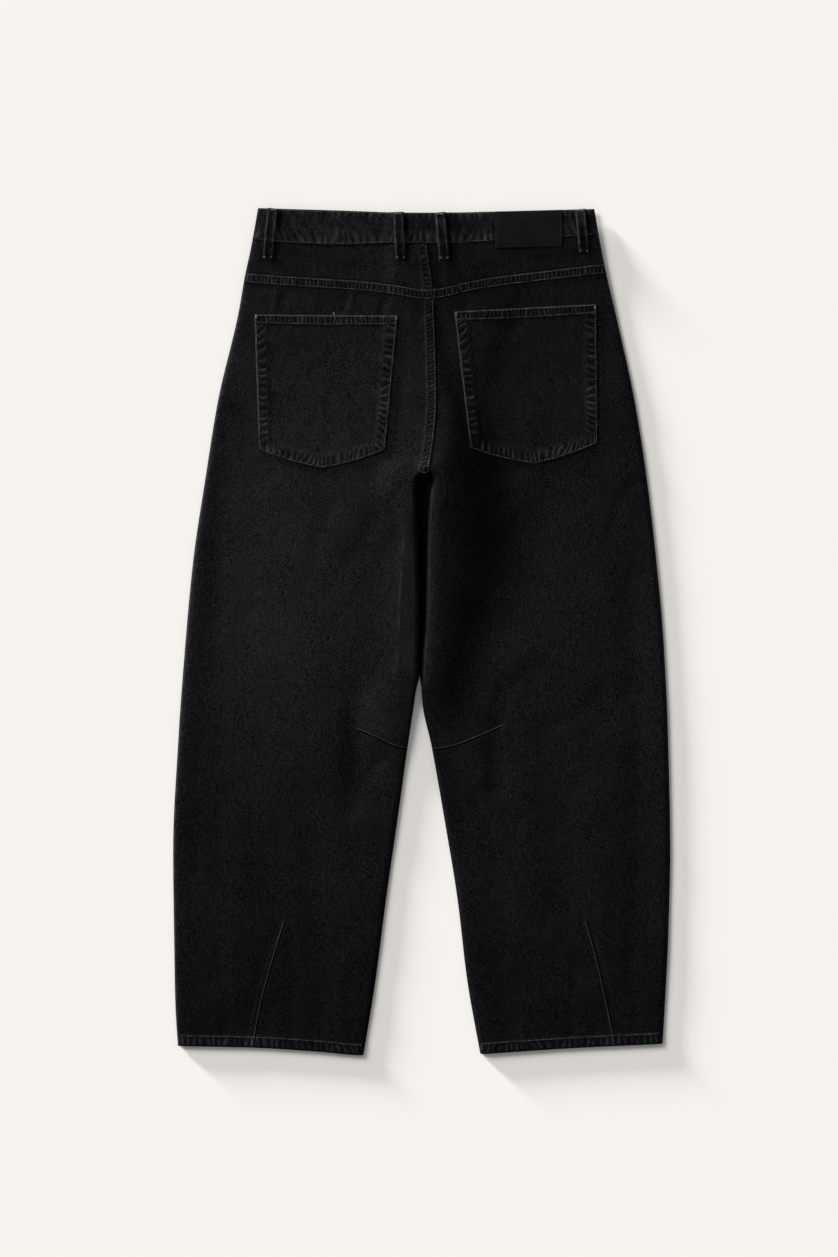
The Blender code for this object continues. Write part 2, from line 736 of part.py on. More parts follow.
def make_back_loop(name, top_x, top_drop, foot_x, foot_drop):
    """A belt loop: held at the waist's edge and at its foot, bowed between them."""
    steps = 14
    length = foot_drop - top_drop
    upper, lower = [], []
    run = Vector((foot_x - top_x, length)).normalized()
    side_step = Vector((run.y, -run.x))
    for k in range(steps + 1):
        t = k / steps
        x, drop = top_x + (foot_x - top_x) * t, top_drop + length * t
        held = smooth_step(0.0, 0.28, t) * (1 - smooth_step(0.72, 0.96, t))
        under = outer_face(x, drop) + SEAM_GAP + LOOP_BOW * held
        row_up, row_down = [], []
        for across, rounding in ((-6, 0.5), (-5.2, 0), (-1.8, 0.15), (1.8, 0.15), (5.2, 0), (6, 0.5)):
            px, pd = x + side_step.x * across, drop + side_step.y * across
            row_down.append(place(px, pd, under))
            row_up.append(place(px, pd, under + LOOP_PLY - rounding))
        upper.append(row_up)
        lower.append(row_down)
    return solid(name, upper, lower, denim())


def make_front_loop(name, x):
    """A belt loop pressed flat between the front of the waist and the surface."""
    top = front_top(x)
    half = LOOP_WIDTH / 2
    rows = [
        [(x + across, top + LOOP_FRONT_LENGTH * t) for across in (-half, -half + 1, half - 1, half)]
        for t in (0.0, 0.25, 0.5, 0.75, 1.0)
    ]

    def underside(_, drop):
        return WAIST_LIFT * (1 - smooth_step(*LIFT_ENDS, drop)) - SEAM_GAP - LOOP_PLY

    return plate(name, rows, LOOP_PLY, underside, denim())


def make_label():
    """The bare patch on the waistband, whose foot hangs over the yoke."""
    upper, lower = [], []
    for v in (0.0, 0.025, 0.25, 0.5, 0.75, 0.975, 1.0):
        row_up, row_down = [], []
        for u in (0.0, 0.012, 0.2, 0.4, 0.6, 0.8, 0.988, 1.0):
            x = LABEL["left"] + (LABEL["right"] - LABEL["left"]) * u
            shift = waist_top(x) - waist_top(LABEL["left"])
            drop = LABEL["top"] + (LABEL["bottom"] - LABEL["top"]) * v + shift
            hang = smooth_step(2, 16, drop - waist_seam(x))
            under = waistband_height(x) - 0.9 * hang + SEAM_GAP
            rounded = 0.25 if u in (0.0, 1.0) or v in (0.0, 1.0) else 0.0
            row_down.append(place(x, drop, under))
            row_up.append(place(x, drop, under + LABEL_PLY - rounded))
        upper.append(row_up)
        lower.append(row_down)
    return solid("label_patch", upper, lower, label_stock())


def make_button():
    """The shank button under the front of the waistband: a domed head on a short shank."""
    drop = front_top(0.0) + WAIST_DEPTH / 2
    head_top = WAIST_LIFT - BUTTON_HOLD - 0.7
    profile = [
        (0.0, head_top - BUTTON_HEAD - 0.5),
        (BUTTON_RADIUS * 0.55, head_top - BUTTON_HEAD - 0.35),
        (BUTTON_RADIUS * 0.93, head_top - BUTTON_HEAD + 0.15),
        (BUTTON_RADIUS, head_top - BUTTON_HEAD / 2),
        (BUTTON_RADIUS * 0.95, head_top),
        (BUTTON_SHANK_RADIUS, head_top),
        (BUTTON_SHANK_RADIUS, WAIST_LIFT - BUTTON_HOLD),
        (0.0, WAIST_LIFT - BUTTON_HOLD),
    ]
    mesh = bmesh.new()
    points = [mesh.verts.new((r * MM, 0, z * MM)) for r, z in profile]
    edges = [mesh.edges.new(pair) for pair in zip(points, points[1:])]
    bmesh.ops.spin(
        mesh,
        geom=points + edges,
        axis=(0, 0, 1),
        cent=(0, 0, 0),
        steps=24,
        angle=2 * math.pi,
        use_merge=False,
    )
    bmesh.ops.remove_doubles(mesh, verts=mesh.verts, dist=1e-6)
    bmesh.ops.recalc_face_normals(mesh, faces=mesh.faces)
    data = bpy.data.meshes.new("waist_button")
    mesh.to_mesh(data)
    mesh.free()
    data.shade_smooth()
    data.set_sharp_from_angle(angle=math.radians(40))
    data.materials.append(button_metal())
    made = bpy.data.objects.new("waist_button", data)
    made.location = place(5.0, drop, 0.0)
    bpy.context.scene.collection.objects.link(made)
    return made


def main():
    for old in list(bpy.data.objects):
        bpy.data.objects.remove(old)
    for side in ("left", "right"):
        make_back(side)
        make_yoke(side)
        make_front(side)
        make_waistband_front(side)
        make_pocket(side)
    make_waistband_back()
    for row in BACK_LOOPS:
        make_back_loop(*row)
    for name, x in FRONT_LOOPS:
        make_front_loop(name, x)
    make_label()
    make_button()


main()
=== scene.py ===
"""Black denim trousers with barrel legs, laid flat on their front and seen from above.

Every sheet of cloth is a fine grid laid on the form of its solid, then creased, given its
thickness and sewn. Places are in millimetres: X runs to the wearer's right, "drop" is the distance
below the waist's top line and Z is the height above the floor. Left and right are the wearer's own.
"""

import math

import bpy
import numpy as np
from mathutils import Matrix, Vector


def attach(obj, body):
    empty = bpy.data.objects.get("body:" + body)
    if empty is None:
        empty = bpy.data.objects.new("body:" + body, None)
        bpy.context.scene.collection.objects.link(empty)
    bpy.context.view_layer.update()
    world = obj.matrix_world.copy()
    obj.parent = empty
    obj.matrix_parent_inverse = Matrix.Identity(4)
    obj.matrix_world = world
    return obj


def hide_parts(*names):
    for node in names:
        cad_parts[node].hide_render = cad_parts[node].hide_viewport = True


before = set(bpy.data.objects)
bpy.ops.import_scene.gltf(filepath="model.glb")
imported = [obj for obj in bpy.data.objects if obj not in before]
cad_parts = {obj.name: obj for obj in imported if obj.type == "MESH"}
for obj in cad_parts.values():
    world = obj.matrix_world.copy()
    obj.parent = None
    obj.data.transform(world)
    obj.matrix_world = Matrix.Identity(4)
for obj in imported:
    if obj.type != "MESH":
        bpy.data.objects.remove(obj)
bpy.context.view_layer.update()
bpy.ops.object.select_all(action="DESELECT")

MM = 0.001

# The garment's own sizes, as in its pattern
DENIM = 1.2
WAISTBAND_PLY = 1.9
MIDDLE_DROP = 487.65
MIDDLE_X = 0.2
WAIST_DEPTH = 40.0
CROTCH_DROP = 300.0
HIP_HEIGHT = 5.4
YOKE_HEIGHT = 6.1
LAYERS = 6.2
WAIST_HEIGHT = 7.4
WAIST_OVERLAP_RISE = 2.2
WAIST_LIFT = 3.0
LIFT_ENDS = (66.0, 190.0)
EDGE_RADIUS = 7.0
FELL_WIDTH = 11.5
FELL_RISE = 0.9
HEM_WIDTH = 13.5
HEM_RISE = 0.7
LAP_X = (-22.0, 22.0)
LAP_END = {"left": LAP_X[1], "right": LAP_X[0]}

# Air between layers that are sewn together, and each piece's share of it at a seam
GAP = 0.3
HALF_GAP = 0.15

# Each side's way along X from the leg's outer edge to its inner one
SIDES = ("left", "right")
TOWARD = {"left": 1, "right": -1}

# Sewing
STITCH_PITCH = 3.3
STITCH_LENGTH = 2.6
THREAD_RADIUS = 0.40
TACK_RADIUS = 0.26
RAISED = np.array([0, 0, 0.06 * MM])

# Outer edges: drop, left edge and right edge from the centre line
OUTER_EDGE = (
    (0, -188, 198.5), (40, -195, 205.5), (80, -203.5, 213.5), (120, -210.5, 223), (220, -234, 245),
    (312, -249, 259.5), (405, -262.8, 270.3), (500, -271.8, 278.8), (612, -280, 284),
    (740, -286, 286.4), (842, -284.8, 284), (911, -283.6, 280.6), (978, -279.6, 276.6),
)

# The centre back seam: drop, distance from the centre line
CENTRE_SEAM = (
    (0, 2), (40, 5.7), (93, 12.8), (170, 16.3), (222, 17), (268, 13.6), (CROTCH_DROP, 8),
)

# Inside legs: drop, left edge and right edge from the centre line
INSIDE_LEG = (
    (CROTCH_DROP, 8, 8), (311, -4.8, 13), (326, -6.2, 9.8), (360, -5.2, 6.9), (413, -4, 5.2),
    (466, -3, 4.4), (535, -4, -0.2), (566, -8, 0.8), (621, -16.2, 12), (704, -27.8, 26.6),
    (796, -41, 41.6), (888, -52.9, 52.6), (978, -67.4, 68.6),
)
FRONT_INNER_EDGE = ((0, 5), (300, 4), (360, 1), (466, 0.7), (535, -2.1))
INNER_RADIUS = ((0, 5), (300, 5), (535, 5), (700, 7), (978, EDGE_RADIUS))

# Seams that run across the body: distance from the centre line, drop
WAIST_TOP = ((-188, 0.4), (-100, 3), (0, 6), (100, 4), (199, 1.4))
WAIST_SEAM = (
    (-196, 36.5), (-165, 40), (-90, 42.8), (-36, 41), (11, 41.5), (85, 38.5), (163, 34), (206, 31),
)
YOKE_SEAM = (
    (-206, 75), (-135, 80), (-71, 84.2), (-33, 88.6), (5, 94), (20, 92.8), (57, 84.2), (89, 79),
    (130, 74), (214, 64),
)
KNEE_LINE = (
    (-290, 601), (-74.4, 601), (-55, 608), (-25, 621), (-16, 622.4), (13, 623.4), (35.5, 619.7),
    (53, 613.6), (78, 603.4), (96, 596.6), (290, 596.6),
)
HEM_LINE = (
    (-282, 964.3), (-198, 966), (-121, 970.6), (-66, 975), (68, 973.6), (96, 971.8), (173, 966.8),
    (279, 961.7),
)

# The hem darts: drop, left and right distance from the centre line
HEM_DART = (
    (817, -155.9, 188.8), (862, -169.6, 201.4), (908, -182.2, 212), (966, -193.9, 224.3),
)

# X of the knee darts' tips, the drop that parts them from the hem darts and where those begin
KNEE_DART_TIPS = (-74.4, 96.0)
BETWEEN_DARTS = 720.0
HEM_DART_TIP = (812.0, 830.0)

# Drops between which the cloth folded away inside each hem dart prints through, and its width
DART_PRINT = {"left": (835.0, 966.0), "right": (835.0, 932.0)}
DART_TURNING = 7.2

# Large folds: path of (x, drop) points, half width, rise. A trough has a negative rise.
FOLDS = (
    (((-22, 318), (-27, 400), (-30, 508), (-37, 600)), 24, 4.6),
    (((-72, 270), (-92, 400), (-104, 520), (-110, 590)), 82, 3.6),
    (((-226, 240), (-238, 400), (-250, 560), (-258, 760)), 15, -1.5),
    (((-14, 322), (-52, 362), (-80, 404)), 12, -0.8),
    (((-76, 560), (-76, 610), (-82, 690)), 13, -1.3),
    (((-208, 700), (-214, 800), (-212, 900)), 26, 1.4),
    (((-128, 700), (-120, 800), (-112, 930)), 20, -1.1),
    (((16, 300), (14, 380), (12, 450), (8, 530)), 38, 8.2),
    (((26, 140), (42, 190), (58, 225), (80, 262), (96, 296)), 24, -1.3),
    (((98, 306), (112, 360), (94, 430), (60, 510), (38, 585)), 27, -1.8),
    (((186, 240), (190, 380), (170, 520)), 50, 2.2),
    (((137, 525), (96, 556), (82, 604), (82, 668)), 13, -1.8),
    (((116, 590), (120, 700), (124, 790)), 24, 1.2),
    (((196, 690), (206, 800), (200, 900)), 28, 1.3),
    (((240, 430), (250, 600), (248, 800), (240, 900)), 17, -1.4),
    (((80, 760), (94, 850), (104, 940)), 19, -1.1),
)

# Creases of the back, pressed in by hand: path, half width, rise. The first two are sharp, one on
# each leg beside the crotch. The front has all but the first four, mirrored and faint.
CREASES = (
    (((-19, 341), (-22.4, 404), (-26, 466), (-28, 536)), 3.6, 0.5),
    (((14.4, 295), (21.3, 301.5), (25.3, 313), (27, 338)), 2.6, 0.55),
    (((21, 311), (33, 324), (36.8, 331), (35, 353)), 3.2, 0.5),
    (((18, 300), (24, 308), (30, 320), (31, 338)), 2.4, -0.45),
    (((-168, 304), (-146, 334)), 5, -0.7),
    (((-160, 300), (-138, 330)), 5, 0.4),
    (((-8, 306), (-20, 316), (-32, 336)), 3.5, -0.6),
    (((-88, 590), (-80, 616), (-70, 640)), 5, -0.6),
    (((-40, 628), (-62, 652), (-74, 690)), 7, -0.6),
    (((40, 626), (58, 650), (66, 690)), 7, -0.6),
    (((120, 540), (104, 580), (96, 600)), 6, 0.5),
    (((-252, 300), (-236, 330), (-226, 352)), 6, -0.5),
    (((244, 320), (226, 344), (216, 372)), 7, -0.5),
    (((60, 330), (84, 368), (96, 410)), 8, -0.5),
    (((-96, 330), (-120, 380), (-126, 420)), 9, -0.5),
    (((-200, 560), (-170, 590), (-130, 602)), 9, -0.45),
    (((210, 560), (176, 588), (140, 600)), 9, -0.45),
    (((-236, 860), (-226, 900), (-224, 950)), 7, -0.5),
    (((-150, 850), (-146, 900), (-150, 955)), 8, -0.5),
    (((240, 850), (248, 905), (250, 950)), 7, -0.5),
    (((180, 860), (172, 910), (172, 952)), 8, -0.5),
    (((-90, 860), (-96, 910), (-90, 958)), 7, 0.45),
    (((100, 880), (112, 920), (118, 955)), 7, 0.45),
)

# Short drags below the yoke seam, between it and the pockets
YOKE_DRAGS = (
    (((-167, 96), (-169, 116)), 3.6, 0.7),
    (((-156, 96), (-160, 114)), 4, -0.7),
    (((-86, 100), (-90, 118)), 3.6, -0.8),
    (((-79, 99), (-82, 116)), 3.2, 0.55),
    (((-44, 106), (-46, 122)), 4.5, -1),
    (((4, 108), (0, 124)), 6, -1),
    (((48, 98), (52, 112)), 4, -0.8),
    (((110, 90), (114, 106)), 4.5, -0.7),
    (((150, 86), (152, 104)), 4.5, 0.5),
    (((-120, 92), (-124, 114)), 5, 0.5),
)

# Paleness down the left leg, partly worn pale in washing and partly painted shade and light, and
# the right leg's share of that, which mostly paints the right side darker as painted shade
WASH_AND_SHADE = (
    (0, 0.475), (60, 0.49), (130, 0.54), (250, 0.62), (330, 0.70), (480, 0.69), (600, 0.54),
    (700, 0.43), (800, 0.375), (880, 0.295), (978, 0.275),
)
RIGHT_WASH_AND_SHADE = (
    (0, 0.90), (70, 0.82), (120, 0.68), (250, 0.62), (450, 0.68), (600, 0.80), (750, 0.94),
    (978, 1.03),
)

# Painted shade where folds, seam laps and the crevice fall in shade, painted light (negative share)
# where slopes catch it, and one dark speck: path, half width, share that it darkens
PAINTED_SHADING_AND_SPECK = (
    (((13, 112), (22, 160), (33, 205), (48, 250)), 9, 0.50),
    (((54, 262), (73, 330), (66, 416), (56, 450)), 27, 0.57),
    (((52, 468), (40, 520), (36, 565)), 17, 0.42),
    (((86, 320), (84, 372)), 42, 0.45),
    (((128, 320), (128, 385), (112, 440), (98, 470)), 20, 0.28),
    (((46, 200), (48, 240), (40, 285)), 11, 0.32),
    (((88, 120), (84, 180), (80, 240)), 22, 0.18),
    (((209, 150), (213, 295)), 15, -0.28),
    (((111, 97), (84, 154), (72, 224), (80, 302)), 11, 0.34),
    (((146, 528), (118, 548), (84, 596), (82, 668)), 13, 0.34),
    (((5.5, 400), (4.5, 466), (1, 535)), 3, 0.34),
    (((18, 626), (30, 650), (34, 690), (40, 730)), 9, 0.36),
    (((257, 680), (256, 900)), 9, 0.17),
    (((228, 750), (226, 900)), 9, -0.18),
    (((-84, 580), (-82, 660)), 10, 0.30),
    (((-50, 350), (-50, 520)), 30, 0.42),
    (((-5, 322), (-3.5, 466), (-4.5, 540)), 3.2, -1.5),
    (((-14, 268), (-22, 300), (-32, 345), (-42, 385)), 13, 0.30),
    (((-16, 390), (-16, 480), (-19, 560), (-30, 604), (-44, 640), (-46, 690)), 11, -0.30),
    (((-17, 510), (-20, 570), (-32, 612), (-46, 640)), 12, -0.30),
    (((-18, 150), (-17, 256)), 6, -0.26),
    (((-129, 300), (-124, 400), (-118, 480), (-122, 560)), 16, 0.15),
    (((-186, 260), (-186, 500)), 22, -0.13),
    (((-214, 236), (-222, 290), (-231, 350), (-240, 440), (-244, 620), (-242, 765)), 16, 0.40),
    (((-20, 326), (-52, 362), (-80, 404)), 12, -0.12),
    (((98, 400), (80, 470), (58, 525)), 20, 0.26),
    (((-124, 331), (-123.5, 331)), 1.8, 0.6),
    (((4, 8), (6, 40)), 10, 0.45),
    (((11, 48), (18, 90)), 3.5, 0.5),
)

# Pockets: X and drop of the mouth's two ends, and of the lower edge's ends and point
POCKETS = {
    "left": {
        "top_low": (-192.3, 122.7), "top_high": (-26.8, 124.2),
        "low_low": (-186.8, 279.0), "point": (-113.4, 300.2), "low_high": (-41.5, 279.0),
    },
    "right": {
        "top_low": (37.6, 119.3), "top_high": (201.6, 110.8),
        "low_low": (56.0, 277.0), "point": (130.1, 295.2), "low_high": (202.6, 271.1),
    },
}
POCKET_HEM = 10.5
POCKET_TURNING = 14.2
POCKET_WIDTH, POCKET_DEPTH = 155.0, 158.0
POCKET_BOW = 2.2
POCKET_RISE = 1.45
POCKET_TURNING_RISE = 0.55

# Belt loops on the back: x and drop of the top, x and drop of the foot
BACK_LOOPS = {
    "loop_back_side_left": (-170.9, 0.9, -176.9, 59),
    "loop_back_mid_left": (-26.7, 5.4, -24, 59.8),
    "loop_back_mid_right": (21.2, 5.8, 26.2, 60.2),
    "loop_back_side_right": (182.3, 2, 187, 52),
}
FRONT_LOOPS = {"loop_front_left": -92.0, "loop_front_right": 100.0}
FRONT_LOOP_LENGTH = 54.0
FRONT_LOOP_BELOW = 1.95
LOOP_WIDTH = 12.0
LOOP_RISE = 1.7
LOOP_STANDS_OFF = 2.2
LOOP_STITCH = (2.8, 2.2, 0.3)
LABEL = {"left": 85.0, "right": 161.8, "top": 4.6, "bottom": 47.0}
LABEL_RISE = 1.45
FRONT_DIP = 14.0
FRONT_CLEAR = 0.22
HALF_WAIST = 190.0

# The fly's sewn row: X, first drop, drop where it turns in, and the turn's reach across and down
FLY = (-32.0, 66.0, 150.0, 34.0, 30.0)

# Painted shadow beside each belt loop: distance across, half width, share
LOOP_PAINTED_SHADOWS = ((8.0, 3.4, 0.72), (-7.0, 1.7, 0.5))

# Camera in metres, the sky's light and the surface that the trousers lie on
CAMERA_PLACE = (-0.0031, 0.0038, 3.419)
SKY_STRENGTH = 0.35
PAPER = (0.80, 0.778, 0.742, 1)

# Suns: strength, width in degrees and direction. The low one gives the long soft shadow.
LIGHTS = (
    ("window_light", 3.0, 24.0, (-1.0, 0.80, 0.74)),
    ("low_light", 10.5, 7.0, (-1.0, 1.0, 0.143)),
)

# Curls of the knob at the crotch: radius, first and last angle, then x and drop of the middle
KNOB_CURLS = (
    (5.6, 125, 250, 2.4, 300.6), (5, 205, 292, 5.4, 302.2), (6.5, 212, 262, 6.4, 306.6),
    (3.4, 55, 125, 2.8, 302),
)

# Distances from an edge at which the grids have their lines, and the back's row at the knee line
FOLDED = (0.0, 0.3, 0.7, 1.3, 2.2, 3.4, 5.0, 7.0, 9.0, 11.0, 13.0, 14.4, 16.0)
FELLED = (0.0, 0.35, 0.8, 1.6, 3.0, 4.8, 6.8, 8.8, 10.2, 10.9, 11.6, 12.4, 14.0)
EDGED = (0.0, 0.25, 0.6, 1.2, 2.2, 3.6, 5.4)
FRONT_INNER = (0.0, 0.5, 1.5, 3.5, 6.0, 9.0, 12.0, 15.0, 19.0, 23.0)
POCKET_MOUTH = (0.0, 0.3, 0.8, 1.6, 3.0, 5.0, 7.0, 9.0, 10.0, 10.6, 11.2, 12.2, 13.8)
HEM_ROWS = (0.0, 0.2, 0.6, 1.2, 2.2, 3.6, 5.4, 7.2, 9.0, 10.8, 12.2, 13.0, 13.5, 14.0, 15.0)
YOKE_ROWS = [distance + HALF_GAP for distance in FELLED]
KNEE_ROW = 202


def ease(start, end, value):
    t = np.clip((value - start) / (end - start), 0.0, 1.0)
    return t * t * (3 - 2 * t)


def hump(distance, width):
    """1 at no distance, falling away softly on both sides."""
    return np.exp(-((distance / width) ** 2))


def to_end(share, length):
    """Distance to the nearer end of a length, at a share of it."""
    return np.minimum(share, 1 - share) * length


def through(rows, value_at=1):
    """A smooth curve through a table's first column and another, as a function of the first."""
    places = np.array([row[0] for row in rows], float)
    values = np.array([row[value_at] for row in rows], float)
    widths = np.diff(places)
    steps = np.diff(values) / widths
    before, after = steps[:-1], steps[1:]
    same_way = before * after > 0
    total = np.where(same_way, before + after, 1.0)
    inside = np.where(same_way, 2 * before * after / total, 0.0)
    slopes = np.concatenate([steps[:1], inside, steps[-1:]])

    def value_of(place):
        place = np.asarray(place, float)
        i = np.clip(np.searchsorted(places, place, side="right") - 1, 0, len(widths) - 1)
        t = (place - places[i]) / widths[i]
        curve = (
            values[i] * (1 + 2 * t) * (1 - t) ** 2
            + values[i + 1] * t * t * (3 - 2 * t)
            + widths[i] * slopes[i] * t * (1 - t) ** 2
            + widths[i] * slopes[i + 1] * t * t * (t - 1)
        )
        below = values[0] + slopes[0] * (place - places[0])
        above = values[-1] + slopes[-1] * (place - places[-1])
        return np.where(place < places[0], below, np.where(place > places[-1], above, curve))

    return value_of


OUTER = {"left": through(OUTER_EDGE, 1), "right": through(OUTER_EDGE, 2)}
centre_seam = through(CENTRE_SEAM)
INSIDE = {"left": through(INSIDE_LEG, 1), "right": through(INSIDE_LEG, 2)}
DART = {"left": through(HEM_DART, 1), "right": through(HEM_DART, 2)}
inner_turn = through(INNER_RADIUS)
front_inner = through(FRONT_INNER_EDGE)
waist_top = through(WAIST_TOP)
waist_seam = through(WAIST_SEAM)
yoke_seam = through(YOKE_SEAM)
knee_line = through(KNEE_LINE)
hem_line = through(HEM_LINE)
wash_and_shade = through(WASH_AND_SHADE)
right_wash_and_shade = through(RIGHT_WASH_AND_SHADE)


def inner_edge(side, drop):
    """The centre back seam down to the crotch, then the inside leg."""
    return np.where(drop < CROTCH_DROP, centre_seam(drop), INSIDE[side](drop))


def front_edge(side, drop):
    """The centre front seam and the inside leg of the front, which part lower down."""
    parting = FRONT_INNER_EDGE[-1][0]
    step = front_inner(parting) - INSIDE[side](parting)
    below = INSIDE[side](drop) + step * (1 - ease(parting, parting + 20, drop))
    return np.where(drop < parting, front_inner(drop), below)


def from_path(x, drop, path):
    nearest = np.full(np.shape(x), 1e9)
    for (x0, d0), (x1, d1) in zip(path, path[1:]):
        run = (x1 - x0, d1 - d0)
        t = ((x - x0) * run[0] + (drop - d0) * run[1]) / (run[0] ** 2 + run[1] ** 2)
        t = np.clip(t, 0, 1)
        nearest = np.minimum(nearest, np.hypot(x - x0 - t * run[0], drop - d0 - t * run[1]))
    return nearest


def pressed(x, drop, folds):
    """The height that a table of folds adds at each place."""
    return sum(rise * hump(from_path(x, drop, path), width) for path, width, rise in folds)


def dye(x, drop):
    """How pale the denim is at each place of the back: worn pale in washing, with painted shade and
    painted light laid over folds, laps and the crevice, and painted shadow beside the belt loops.
    """
    right = ease(0, 30, x - inner_edge("left", drop))
    pale = wash_and_shade(drop) * (1 + (right_wash_and_shade(drop) - 1) * right)
    # Painted shadows beside each belt loop
    loop_shadows = [
        (((top_x + shift, top_drop + 4), (foot_x + shift, foot_drop + 1)), half_width, share)
        for top_x, top_drop, foot_x, foot_drop in BACK_LOOPS.values()
        for shift, half_width, share in LOOP_PAINTED_SHADOWS
    ]
    for path, half_width, share in (*PAINTED_SHADING_AND_SPECK, *loop_shadows):
        pale = pale * (1 - share * hump(from_path(x, drop, path), half_width))
    return pale


LATTICE = 128


def wobble(place, length, seed):
    """An uneven wave of about the given length, from -1 to 1."""
    turn = 2 * math.pi * place / length
    uneven = 0.75 + 0.25 * np.sin(turn / 4.7 + seed * 1.3)
    wave = 0.55 * np.sin(turn + seed) + 0.3 * np.sin(turn * 1.618 + 2.1 * seed)
    return uneven * (wave + 0.25 * np.sin(turn * 0.57 + 4.2 * seed))


def rumple(x, y, cell, seed):
    """Soft uneven ground between -1 and 1, with bumps about one cell wide."""
    lattice = np.random.default_rng(seed).uniform(-1, 1, (LATTICE, LATTICE))
    gx, gy = np.asarray(x) / cell, np.asarray(y) / cell
    ix, iy = np.floor(gx).astype(int), np.floor(gy).astype(int)
    tx, ty = gx - ix, gy - iy
    tx, ty = tx * tx * (3 - 2 * tx), ty * ty * (3 - 2 * ty)

    def corner(across, down):
        return lattice[(ix + across) % LATTICE, (iy + down) % LATTICE]

    top = corner(0, 0) * (1 - tx) + corner(1, 0) * tx
    low = corner(0, 1) * (1 - tx) + corner(1, 1) * tx
    return top * (1 - ty) + low * ty


def lap_share(x):
    return ease(LAP_X[0] - 24, LAP_X[0] - 4, x) * (1 - ease(LAP_X[1] + 4, LAP_X[1] + 24, x))


def lift_at(x, drop):
    """How far the button and the largest folds hold the front's outer face off the floor."""
    waist = WAIST_LIFT * (1 - ease(*LIFT_ENDS, drop))
    fold = np.maximum(0.0, HIP_HEIGHT + pressed(x, drop, FOLDS) * ease(60, 150, drop) - LAYERS)
    inside_leg = np.maximum(inner_edge("left", drop) - x, x - inner_edge("right", drop))
    to_side = np.minimum(x - OUTER["left"](drop), OUTER["right"](drop) - x)
    inside_leg = np.minimum(inside_leg, to_side)
    apart = ease(CROTCH_DROP - 2, CROTCH_DROP + 16, drop)
    fold = fold * (1 + (ease(7.0, 23.0, inside_leg) - 1) * apart)
    return np.where(drop < LIFT_ENDS[0], waist, np.maximum(waist, fold))


def front_top(x):
    across = np.minimum(1.0, np.abs(x) / HALF_WAIST)
    return waist_top(x) + 1.5 + FRONT_DIP * (1 - across**2)


def front_seam(x):
    return front_top(x) + WAIST_DEPTH - 4.0 * np.minimum(1.0, np.abs(x) / HALF_WAIST)


def seam_height(x, drop):
    """Just above the front pieces, where the back comes down on them."""
    below_waistband = ease(1, 16, drop - front_seam(x))
    waist = 0.8 + WAIST_OVERLAP_RISE * lap_share(x)
    return lift_at(x, drop) + DENIM + GAP + waist * (1 - below_waistband)


def waistband_height(x):
    return WAIST_HEIGHT + WAIST_OVERLAP_RISE * lap_share(x)


def back_height(x, drop):
    """Height of the back's outer face, away from its turned edges and seams."""
    plain = HIP_HEIGHT + (YOKE_HEIGHT - HIP_HEIGHT) * (1 - ease(46, 140, drop))
    settled = plain + pressed(x, drop, FOLDS) * ease(60, 150, drop)
    settled += WAIST_OVERLAP_RISE * lap_share(x) * (1 - ease(60, 140, drop))
    return np.maximum(settled, seam_height(x, drop) + DENIM + GAP)


def band(distance, width, rise):
    """A raised strip from distance 0 to width, with a soft far edge."""
    return rise * (distance > -0.1) * (1 - ease(width - 0.6, width + 0.3, distance))


def drawn(distance, along, reach, seed, size=1.0):
    """Soft drags that a row of stitches leaves in the cloth beside it."""
    fade = np.exp(-np.abs(distance) / reach)
    return size * fade * (0.16 * wobble(along, 13.0, seed) + 0.30 * wobble(along, 27.0, seed + 5))


def puckers(distance, along, pitch, reach, seed, size):
    """Even ribs that a seam gathers into the cloth beside it, which fade with the distance."""
    phase = along / pitch + 0.35 * wobble(along, 61.0, seed)
    uneven = 0.65 + 0.35 * wobble(along, 43.0, seed + 3)
    return size * uneven * np.exp(-np.abs(distance) / reach) * np.sin(2 * math.pi * phase)


def back_surface(side, x, drop):
    """Outer face of a leg's back panel, with its seams, creases and drags."""
    z = back_height(x, drop)
    z += pressed(x, drop, CREASES) * ease(90, 150, drop) + pressed(x, drop, YOKE_DRAGS)
    z += 0.34 * rumple(x, drop, 42.0, 3) + 0.15 * rumple(x, drop, 15.0, 4)
    from_yoke = drop - yoke_seam(x)
    from_inner = np.abs(inner_edge(side, drop) - x)
    from_hem = hem_line(x) - drop
    relief = band(from_yoke, FELL_WIDTH, FELL_RISE)
    if side == "left":
        above = 1 - ease(CROTCH_DROP - 4, CROTCH_DROP + 6, drop)
        relief = np.maximum(relief, band(from_inner, FELL_WIDTH, FELL_RISE) * above)
    relief = np.maximum(relief, band(from_hem, HEM_WIDTH, HEM_RISE))
    z += relief
    z += drawn(from_yoke - 12, x, 10.0, 1)
    z += drawn(from_hem - 13, x, 10.0, 2, 0.9)
    inside_leg = ease(CROTCH_DROP, CROTCH_DROP + 60, drop)
    z += drawn(from_inner - 11, drop, 9.0, 3, 0.8 - 0.5 * inside_leg)
    z += hump(x - 2.0, 9.0) * hump(drop - CROTCH_DROP, 7.0)
    return z


def at(x, drop, z):
    """Points in metres from millimetres across, down and up."""
    x, drop, z = np.broadcast_arrays(x, drop, z)
    return np.stack([(x - MIDDLE_X) * MM, (MIDDLE_DROP - drop) * MM, z * MM], axis=-1)


def operation(name, swap=False):
    """A method of Value that makes one node of sums."""

    def method(self, *others):
        parts = (*others, self) if swap else (self, *others)
        return self.finish.node("ShaderNodeMath", {"operation": name}, dict(enumerate(parts)))

    return method


